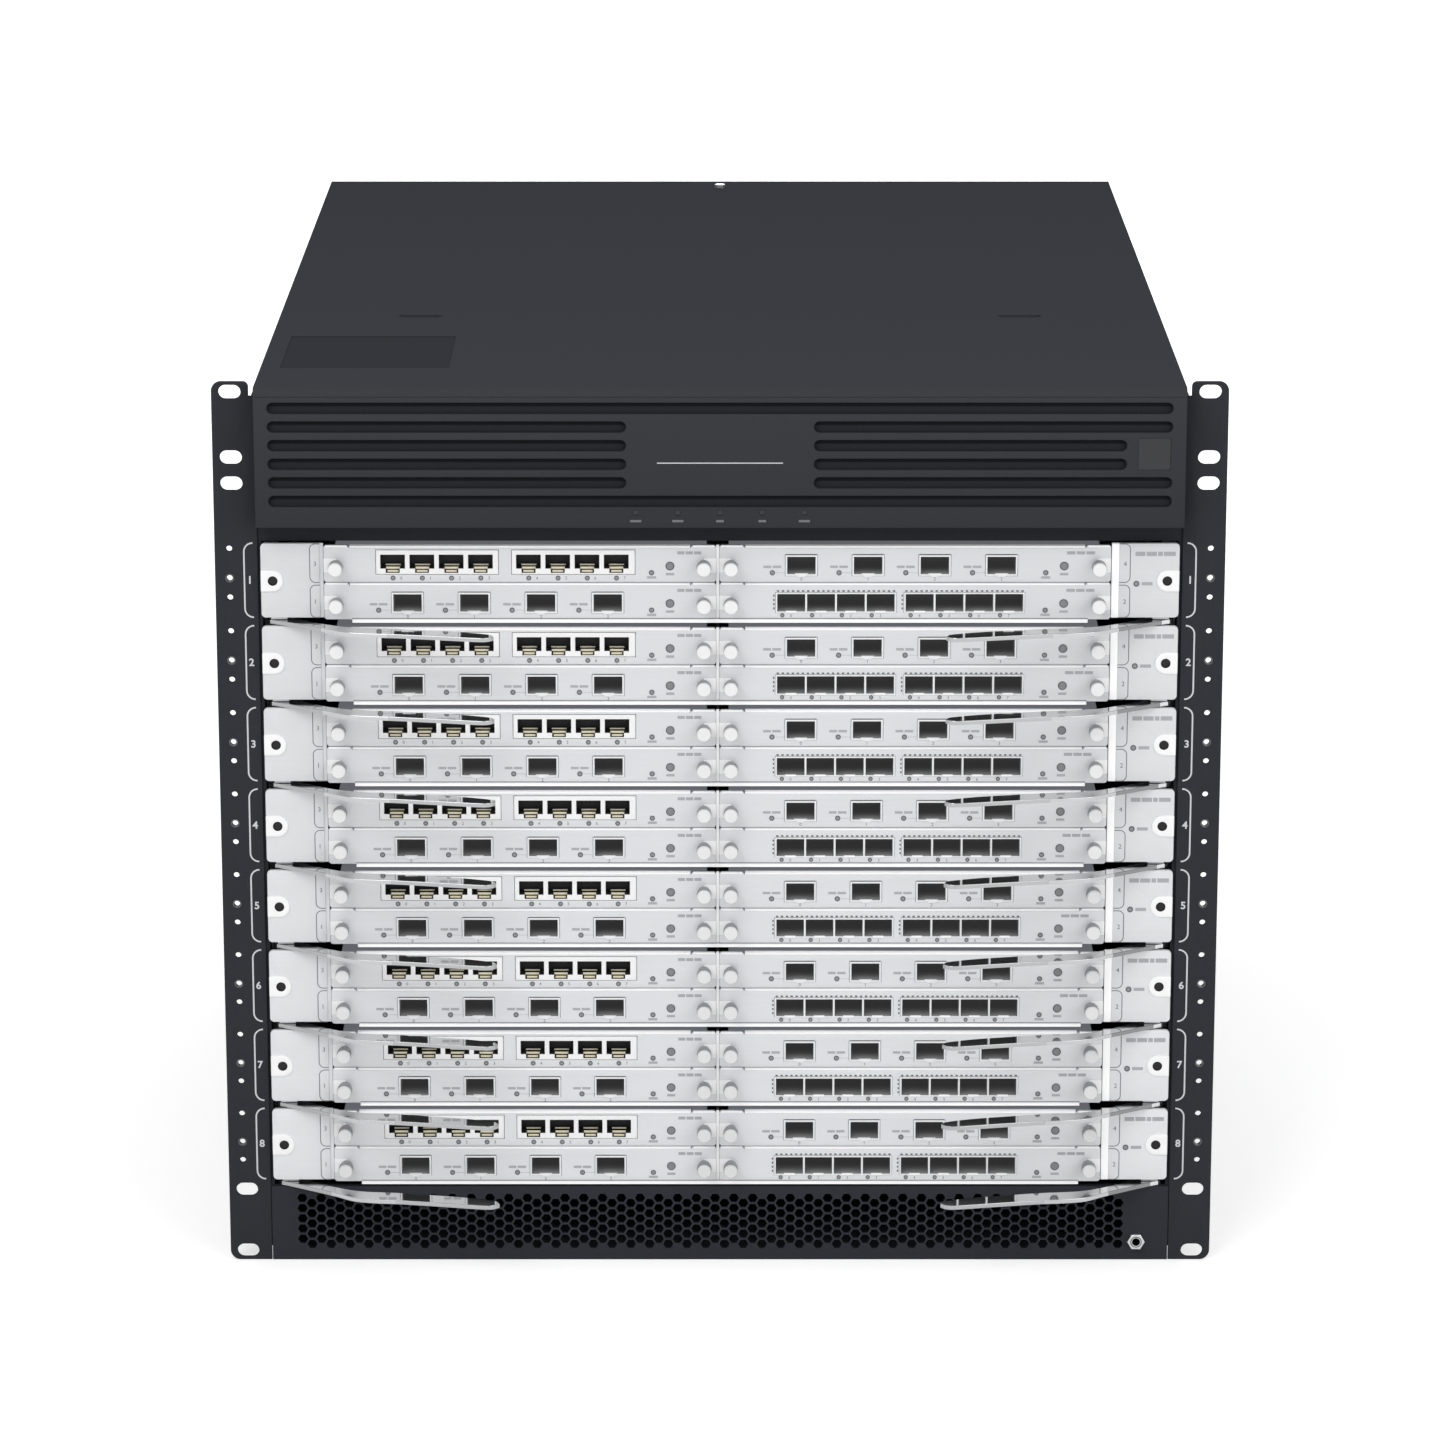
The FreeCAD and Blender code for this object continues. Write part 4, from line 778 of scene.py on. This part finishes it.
def module_face(shape, left, right, low, holes):
    """The stepped face plate, a glowing white band along its top as a painted highlight for the lit fold,
    and the closed housing behind it.
    """
    shape.look((0, MODULE, low))
    soft = 0.9 * MM
    outline = [(left + soft, 0), (right - soft, 0), (right, soft), (right, TAB_HIGH - soft),
               (right - soft, TAB_HIGH), (right - TAB, TAB_HIGH), (right - TAB - TAB_SLOPE, FACE_HIGH),
               (left + TAB + TAB_SLOPE, FACE_HIGH), (left + TAB, TAB_HIGH), (left + soft, TAB_HIGH),
               (left, TAB_HIGH - soft), (left, soft)]
    shape.panel(outline, 1.5 * MM, module_steel, holes, lip=0.3 * MM, steps=2)
    # White bars along the tab tops and a glowing white block above the face: painted highlights on the lit
    # folds.
    for start in (left + soft, right - TAB):
        bar(shape, start, start + TAB - soft, TAB_HIGH - 0.95 * MM, TAB_HIGH - 0.15 * MM, highlight_glow_white)
    inset = TAB + 1.4 * MM
    block(shape, (left + inset, right - inset), (MODULE + 0.35 * MM, MODULE + 4 * MM),
          (low + FACE_HIGH, low + FACE_HIGH + 0.95 * MM), highlight_glow_white, 0.2 * MM)
    x = (left + 4.5 * MM, right - 4.5 * MM)
    z = (low + (2.4 if low == LOWER else 0.3) * MM, low + FACE_HIGH - 2.1 * MM)
    skin = 0.8 * MM
    mouth = (MODULE + 1.6 * MM, MODULE + 26 * MM)
    block(shape, x, (mouth[1], HOUSING_BACK), z, housing_skin)
    block(shape, x, mouth, (z[0], z[0] + skin), housing_skin)
    block(shape, x, mouth, (z[1] - skin, z[1]), housing_skin)
    for side in (x[0], x[1] - skin):
        block(shape, (side, side + skin), mouth, (z[0] + skin, z[1] - skin), housing_skin)
    shape.look((0, MODULE, low))


LAMP_Z = 4.6 * MM
BUTTON_Z = 7.9 * MM


def common_marks(shape, lamp_x, button_x, label_left, label_right):
    """Ready lamp, hot-swap button and the bare label bars of one module."""
    status_lamp(shape, lamp_x, LAMP_Z, 2.6 * MM)
    dark_rim(shape, button_x, BUTTON_Z, 4.3 * MM, 3.3 * MM, 0.15 * MM, lamp_ring, 20)
    shape.turned([(1.5 * MM, -0.5 * MM), (1.7 * MM, -0.3 * MM), (1.75 * MM, 0.1 * MM)],
                 (button_x, BUTTON_Z), button_grey, cap=False)
    bar(shape, lamp_x - 2.2 * MM, lamp_x + 2.2 * MM, 1.7 * MM, 2.9 * MM, label_grey)
    bar(shape, button_x - 2.0 * MM, button_x + 2.0 * MM, 3.3 * MM, 4.5 * MM, label_grey)
    third = (label_right - label_left) / 3
    for k in range(3):
        left = label_left + k * third
        bar(shape, left, left + third * 0.86, 13.6 * MM, 15.1 * MM, label_grey)


def link_mark(shape, lamp_x, rule_to):
    """A link lamp with its bare word bars and the thin rule that leads to its socket."""
    status_lamp(shape, lamp_x, LAMP_Z, 2.6 * MM)
    for left, right in ((-4.3, -0.6), (0.1, 4.2)):
        bar(shape, lamp_x + left * MM, lamp_x + right * MM, LAMP_Z + 2.3 * MM, LAMP_Z + 3.5 * MM, label_grey)
    bar(shape, lamp_x + 1.6 * MM, rule_to, LAMP_Z - 0.1 * MM, LAMP_Z + 0.1 * MM, label_grey)


LEFT_SIDE = (-189.2 * MM, -1.9 * MM)
RIGHT_SIDE = (-0.3 * MM, 186.6 * MM)
LEFT_MARKS = (-32.7 * MM, -23.9 * MM, -20.4 * MM, -8.4 * MM)
RIGHT_MARKS = (155.5 * MM, 164.3 * MM, 165.5 * MM, 179.5 * MM)
SOCKET_STEP = 13.97 * MM
SOCKET_LOW = 6.7 * MM


def keyed_socket(x):
    """A copper socket's opening, with the lower place for the plug's latch."""
    low, high = SOCKET_LOW, SOCKET_LOW + 6.8 * MM
    key, end = x + 2.6 * MM, x + 11.75 * MM
    return [(x, low), (key, low), (key, low - 2.1 * MM), (key + 6.6 * MM, low - 2.1 * MM),
            (key + 6.6 * MM, low), (end, low), (end, high), (x, high)]


copper = Shape()
sockets = [start + k * SOCKET_STEP for start in (-162.1 * MM, -97.3 * MM) for k in range(4)]
gangs = [rounded(left * MM, right * MM, 3.7 * MM, 15.9 * MM)
         for left, right in ((-164.4, -105.6), (-99.6, -40.4))]
module_face(copper, *LEFT_SIDE, UPPER, [hollow(g, finger_dark) for g in gangs])
for gang, own in zip(gangs, (sockets[:4], sockets[4:])):
    copper.panel(grown(gang, -0.25 * MM), 1.5 * MM, frame_white,
                 [hollow(keyed_socket(x), socket_dark, 9 * MM) for x in own],
                 lip=0.2 * MM, front=-0.35 * MM, steps=2)
for k, x in enumerate(sockets):
    middle = x + 5.9 * MM
    for wide, low, high, deep in ((3.3, -0.9, 0.1, 3.0), (2.6, -2.0, -1.1, 1.2), (3.6, 0.3, 0.9, 5.5)):
        contact = rounded(middle - wide * MM, middle + wide * MM,
                          SOCKET_LOW + low * MM, SOCKET_LOW + high * MM)
        copper.panel(contact, 0.6 * MM, contact_gold, front=deep * MM)
    status_lamp(copper, x + 6.0 * MM, 2.0 * MM, 2.4 * MM)
    numeral(copper, str(k), x + 9.9 * MM, 2.0 * MM, 1.5 * MM, print_grey)
common_marks(copper, *LEFT_MARKS)
CAGE_DEPTH = 24 * MM


def optic_module(sides, low, first, pitch, lamp_first, marks):
    """Four separate cages with raised rims, a latch tab, a link lamp and a plain number each."""
    shape = Shape()
    starts = [first + k * pitch for k in range(4)]
    holes = [rounded(x, x + 13.5 * MM, 4.1 * MM, 12.5 * MM) for x in starts]
    rims = [grown(hole, 1.0 * MM) for hole in holes]
    module_face(shape, *sides, low, [hollow(rim, finger_dark) for rim in rims])
    for k, x in enumerate(starts):
        shape.panel(grown(rims[k], -0.15 * MM), 1.2 * MM, cage_rim,
                    [hollow(holes[k], cage_dark, CAGE_DEPTH)], lip=0.25 * MM, front=-0.8 * MM, steps=2)
        middle = x + 6.75 * MM
        latch = [(middle + over * MM, z * MM)
                 for over, z in ((-3.2, 4.5), (-1.6, 2.7), (1.6, 2.7), (3.2, 4.5))]
        shape.panel(latch, 0.9 * MM, cage_rim, front=-0.9 * MM, lip=0.15 * MM, steps=2)
        seam = rounded(middle - 7.3 * MM, middle + 7.3 * MM, 13.0 * MM, 13.7 * MM)
        shape.panel(seam, 0.3 * MM, finger_dark, front=-0.1 * MM)
        numeral(shape, str(k), middle, 1.5 * MM, 1.5 * MM, print_grey)
        link_mark(shape, lamp_first + k * pitch, x - 1.1 * MM)
    common_marks(shape, *marks)
    return shape


optic_left = optic_module(LEFT_SIDE, LOWER, -156.1 * MM, 31.9 * MM, -163.2 * MM, LEFT_MARKS)
optic_right = optic_module(RIGHT_SIDE, UPPER, 32.1 * MM, 31.85 * MM, 25.0 * MM, RIGHT_MARKS)

GANG_PITCH = 14.25 * MM
FINGERS = 24
gang_module = Shape()
groups = [[start + k * GANG_PITCH for k in range(4)] for start in (27.4 * MM, 88.8 * MM)]
shells = [rounded(g[0] - 0.9 * MM, g[-1] + 14.2 * MM, 3.3 * MM, 13.4 * MM) for g in groups]
module_face(gang_module, *RIGHT_SIDE, LOWER, [hollow(shell, finger_dark) for shell in shells])
for g, (group, shell) in enumerate(zip(groups, shells)):
    cages = [rounded(x, x + 13.3 * MM, 4.1 * MM, 12.6 * MM) for x in group]
    gang_module.panel(grown(shell, -0.1 * MM), 1.2 * MM, cage_rim,
                      [hollow(cage, cage_dark, CAGE_DEPTH) for cage in cages],
                      lip=0.2 * MM, front=-0.6 * MM, steps=2)
    left, right, top = shell[0][0], shell[1][0], shell[2][1]
    step = (right - left) / FINGERS
    fingers = [rounded(left + (k + 0.5) * step - 0.55 * MM, left + (k + 0.5) * step + 0.55 * MM,
                       top + 0.3 * MM, top + 1.0 * MM) for k in range(FINGERS)]
    fingers += [rounded(left - 1.1 * MM, left - 0.4 * MM, z * MM, (z + 0.9) * MM)
                for z in (5.0, 7.1, 9.2, 11.3)]
    for finger in fingers:
        gang_module.panel(finger, 0.3 * MM, lamp_ring, front=-0.1 * MM)
    for k, x in enumerate(group):
        middle = x + 6.6 * MM
        latch = rounded(middle - 2.6 * MM, middle + 2.6 * MM, 3.5 * MM, 4.4 * MM)
        gang_module.panel(latch, 0.8 * MM, highlight_glow_white, front=-0.95 * MM, lip=0.15 * MM, steps=2)
        status_lamp(gang_module, x + 2.4 * MM, 2.1 * MM, 2.1 * MM)
        numeral(gang_module, str(4 * g + k), middle, 1.9 * MM, 1.4 * MM, print_grey)
common_marks(gang_module, *RIGHT_MARKS)

for n in range(1, SLOTS + 1):
    drop = (n - 1) * SLOT_PITCH
    for name, form in (("copper_module", copper), ("optic_module_left", optic_left),
                       ("optic_module_right", optic_right), ("gang_module", gang_module)):
        nodes = (f"modules_{n}",) if name == "copper_module" else ()
        piece(f"{name}_{n}", f"slot_carrier_{n}", form.lowered(drop), nodes)

# Thumbscrews: turned and knurled, nickel plated, their flat ends painted near white as a highlight and their
# knurled sides painted grey as shade. Each has a bare white field printed beside it on its module's end tab.
def knob_tone(x, y, z):
    """Painted shade: darker downwards, below the first slot."""
    return 1.0 - (SLOT_ONE - z) * 0.55 * (z < SLOT_ONE)


# The ends are painted near white as a highlight and the knurl grey as shade, both on the one plated metal.
knob_tip_highlight = finish("knob_tip_highlight", tone(250, 250, 250), rough=0.4, shade=0.01, change=knob_tone)
knurl_painted_shade = finish("knob_grip_shade", tone(158, 159, 162), rough=0.4, metal=0.3, shade=0.04, change=knob_tone)
knobs = Shape((0, PLATE, SLOT_ONE))
KNOB = 7.1 * MM
RIDGES = 48
KNOB_PLACES = ((-183.2 * MM, LEFT_SIDE[0]), (-7.7 * MM, LEFT_SIDE[1]),
               (5.2 * MM, RIGHT_SIDE[0]), (180.7 * MM, RIGHT_SIDE[1]))
for x, module_end in KNOB_PLACES:
    for z in (7.3 * MM, 25.7 * MM):
        near, far = sorted((x, module_end))
        knobs.panel(rounded(near, far, z - 3.4 * MM, z + 3.4 * MM), 0.12 * MM, pad_glow_white, front=-0.14 * MM)
        tip, chamfer, knurl, neck = (circle(x, z, share * KNOB, RIDGES) for share in (0.86, 0.93, 1.0, 0.78))
        knurl[1::2] = circle(x, z, 0.94 * KNOB, RIDGES)[1::2]
        profile = ((tip, -9.9), (chamfer, -9.5), (knurl, -9.0), (knurl, -3.4), (neck, -3.0), (neck, 0.0))
        rings = [knobs.ring(loop, depth * MM) for loop, depth in profile]
        knobs.face(rings[0], knob_tip_highlight)
        for k, (first, second) in enumerate(zip(rings, rings[1:])):
            knobs.wall(first, second, knob_tip_highlight if k < 2 else knurl_painted_shade)
for n in range(1, SLOTS + 1):
    shown = knobs.lowered((n - 1) * SLOT_PITCH)
    piece(f"thumbscrew_set_{n}", f"slot_carrier_{n}", shown, [f"thumbscrews_{n}"])

# Ejector levers: polished stainless plate, bent like a dog's leg in plan, with an eye on the pivot pin
# and a blunt tip. The polished top mirrors the sockets above it; the edges are duller, with painted
# reflection.
def lever_tone(x, y, z):
    """Painted reflection on the edges: duller at the tips and near the ears, a painted highlight round the
    right eye.
    """
    out = x.maths("ABSOLUTE")
    dull = 1.0 - 0.25 * (x < -190 * MM) - 0.5 * (x > 190 * MM) - 0.15 * (out < 158 * MM)
    return dull + 0.8 * (x > 211.5 * MM)


polished = finish("lever_polished", tone(214, 214, 214), rough=0.07, metal=1.0, grain=(60, 60, 60),
                  shade=0.02)
lever_edge = finish("lever_edge", tone(186, 187, 188), rough=0.2, metal=0.9, grain=(60, 60, 60), shade=0.04,
                    change=lever_tone)


def eased(points, steps=6):
    """A smooth open line through the points."""
    made = []
    last = len(points) - 1
    for i in range(last):
        before, start, end, after = (Vector(points[k]) for k in (max(i - 1, 0), i, i + 1, min(i + 2, last)))
        for k in range(steps):
            t = k / steps
            p = 0.5 * (2 * start + (end - before) * t + (2 * before - 5 * start + 4 * end - after) * t ** 2
                       + (3 * start - before - 3 * end + after) * t ** 3)
            made.append(tuple(p))
    return made + [points[-1]]


LEVER_FRONT = [(-213, -0.5), (-205, -5.5), (-188, -16.6), (-178.5, -23.6), (-168, -26.4), (-155, -27.9),
               (-134, -31.7), (-116, -35.2), (-110.5, -35.2), (-107.2, -32.4)]
LEVER_REAR = [(-108.6, -29.2), (-112.5, -27.4), (-123.5, -23.8), (-140, -20.2), (-157, -16.9), (-176, -14.4),
              (-188.8, -8.3), (-199, -0.8), (-204.6, 3.0)]
EYE = 6.2
eye = [(-211 + EYE * math.cos(math.radians(a)), 5 + EYE * math.sin(math.radians(a)))
       for a in range(0, 226, 15)]
plan = [(x * MM, EAR + y * MM) for x, y in eased(LEVER_FRONT) + eased(LEVER_REAR) + eye]
for side, name in ((-1, "left"), (1, "right")):
    lever = Shape((0, 0, SLOT_ONE - 1.6 * MM), (1, 0, 0), (0, 1, 0))
    pin_hole = circle(side * PIVOT[0], PIVOT[1], 4.0 * MM)
    lever.panel(mirrored(plan, -side), 2.0 * MM, polished, [hollow(pin_hole, lever_edge)],
                lip=0.25 * MM, steps=2)
    for face, corners in enumerate(lever.faces):
        levels = {round((lever.points[c].z - SLOT_ONE) / MM, 2) for c in corners}
        if len(levels) > 1:
            lever.finishes[face] = lever_edge
    for n in range(1, SLOTS + 1):
        node = f"lever_{name}_{n}"
        shown = lever.lowered((n - 1) * SLOT_PITCH)
        piece(f"ejector_{name}_{n}", node, shown, [node], sharp=20)

# Backplane, rear modules, fan tray, rotors and screws: a green board with its sockets, zinc plated
# modules and tray, black moulded rotors and plated screws. They keep their CAD form and take a finish.
board_green = finish("board_green", tone(34, 84, 58), rough=0.45, grain=(120, 120, 120), shade=0.15)
rear_zinc = finish("rear_plate", tone(196, 198, 200), rough=0.42, metal=0.6, grain=(14, 14, 900), shade=0.05)
fan_black = finish("fan_black", tone(24, 25, 27), rough=0.45, shade=0.08)
plated = finish("screw_plated", tone(196, 197, 199), rough=0.3, metal=0.9, shade=0.05)
dress("backplane", board_green)
for name in ("power_supply_1", "power_supply_2", "control_module_1", "control_module_2",
             "forwarding_module", "fan_tray"):
    dress(name, rear_zinc)
for n in range(1, 4):
    dress(f"fan_rotor_{n}", fan_black)
dress("cover_screws", plated)
dress("ear_screws", plated)

# Stage: a pale floor and a plain surround that the camera and reflections see as white, though they
# light the object with less, and four soft lamps.
FLOOR_HALF = 30.0
corners = [(x * FLOOR_HALF, y * FLOOR_HALF, 0) for x, y in ((-1, -1), (1, -1), (1, 1), (-1, 1))]
floor_mesh = bpy.data.meshes.new("floor")
floor_mesh.from_pydata(corners, [], [(0, 1, 2, 3)])
floor = linked("floor", floor_mesh)
floor_finish = bpy.data.materials.new("floor_pale")
floor_finish.use_nodes = True
tree = floor_finish.node_tree
shader = tree.nodes["Principled BSDF"]


def seen_directly(tree, kinds=("Is Camera Ray", "Is Glossy Ray")):
    """1 for rays of these kinds and 0 for the ones that carry light to the object."""
    path = tree.nodes.new("ShaderNodeLightPath")
    first, *others = (Sum(tree, path.outputs[kind]) for kind in kinds)
    for other in others:
        first = first.maths("MAXIMUM", other)
    return first


seen = seen_directly(tree)
shader.inputs["Base Color"].default_value = (*tone(238, 238, 238), 1)
shader.inputs["Roughness"].default_value = 0.9
shader.inputs["Specular IOR Level"].default_value = 0.0
spread = tree.nodes.new("ShaderNodeSeparateXYZ")
seen.feed(spread.inputs[0], Sum(tree, tree.nodes.new("ShaderNodeTexCoord").outputs["Object"]))
across, deep = (Sum(tree, spread.outputs[n]) for n in (0, 1))
NEAR_GLOW = 0.49
FAR_GLOW = 0.22
beyond = (across * across + deep * deep).maths("POWER", 0.5) - 1.0
more = (beyond * 0.1).maths("MINIMUM", FAR_GLOW).maths("MAXIMUM", 0.0)
glow = seen * (NEAR_GLOW + more)
light = seen.node("ShaderNodeCombineColor", Red=glow, Green=glow, Blue=glow)
seen.feed(shader.inputs["Emission Color"], light)
shader.inputs["Emission Strength"].default_value = 1.0
floor_mesh.materials.append(floor_finish)

world = bpy.data.worlds.new("studio")
bpy.context.scene.world = world
world.use_nodes = True
sky = world.node_tree
background = sky.nodes["Background"]
plain = seen_directly(sky, ("Is Camera Ray", "Is Glossy Ray", "Is Transmission Ray"))
AMBIENT = 0.45
white = AMBIENT + plain * (1.0 - AMBIENT)
level = plain.node("ShaderNodeCombineColor", Red=white, Green=white, Blue=white)
plain.feed(background.inputs["Color"], level)
background.inputs["Strength"].default_value = 1.0


def soft_lamp(name, place, target, size, watts):
    lamp = bpy.data.lights.new(name, "AREA")
    lamp.size = size
    lamp.energy = watts
    made = linked(name, lamp)
    made.location = place
    made.rotation_euler = (Vector(target) - Vector(place)).to_track_quat("-Z", "Y").to_euler()


soft_lamp("key", (-1.3, -2.6, 2.4), (0, 0, 0.25), 1.8, 36)
soft_lamp("fill", (1.8, -2.4, 1.4), (0, 0, 0.2), 1.8, 18)
soft_lamp("top", (0, 0.4, 3.0), (0, 0, 0.4), 2.0, 10)
soft_lamp("rear", (0.4, 3.0, 1.8), (0, 0, 0.25), 2.0, 32)

# Camera: the photograph's long lens, nearly 3 m from the object and looking 15 degrees down
CAMERA_TILT = 15.075
CAMERA_PLACE = (0, -2.9565, ear_low.z + 0.9963)
lens = bpy.data.cameras.new("camera")
lens.lens = 144.0
lens.sensor_width = 36.0
camera = linked("camera", lens)
camera.location = CAMERA_PLACE
camera.rotation_euler = (math.radians(90 - CAMERA_TILT), 0, 0)
bpy.context.scene.camera = camera
bpy.context.scene.view_settings.view_transform = "Standard"
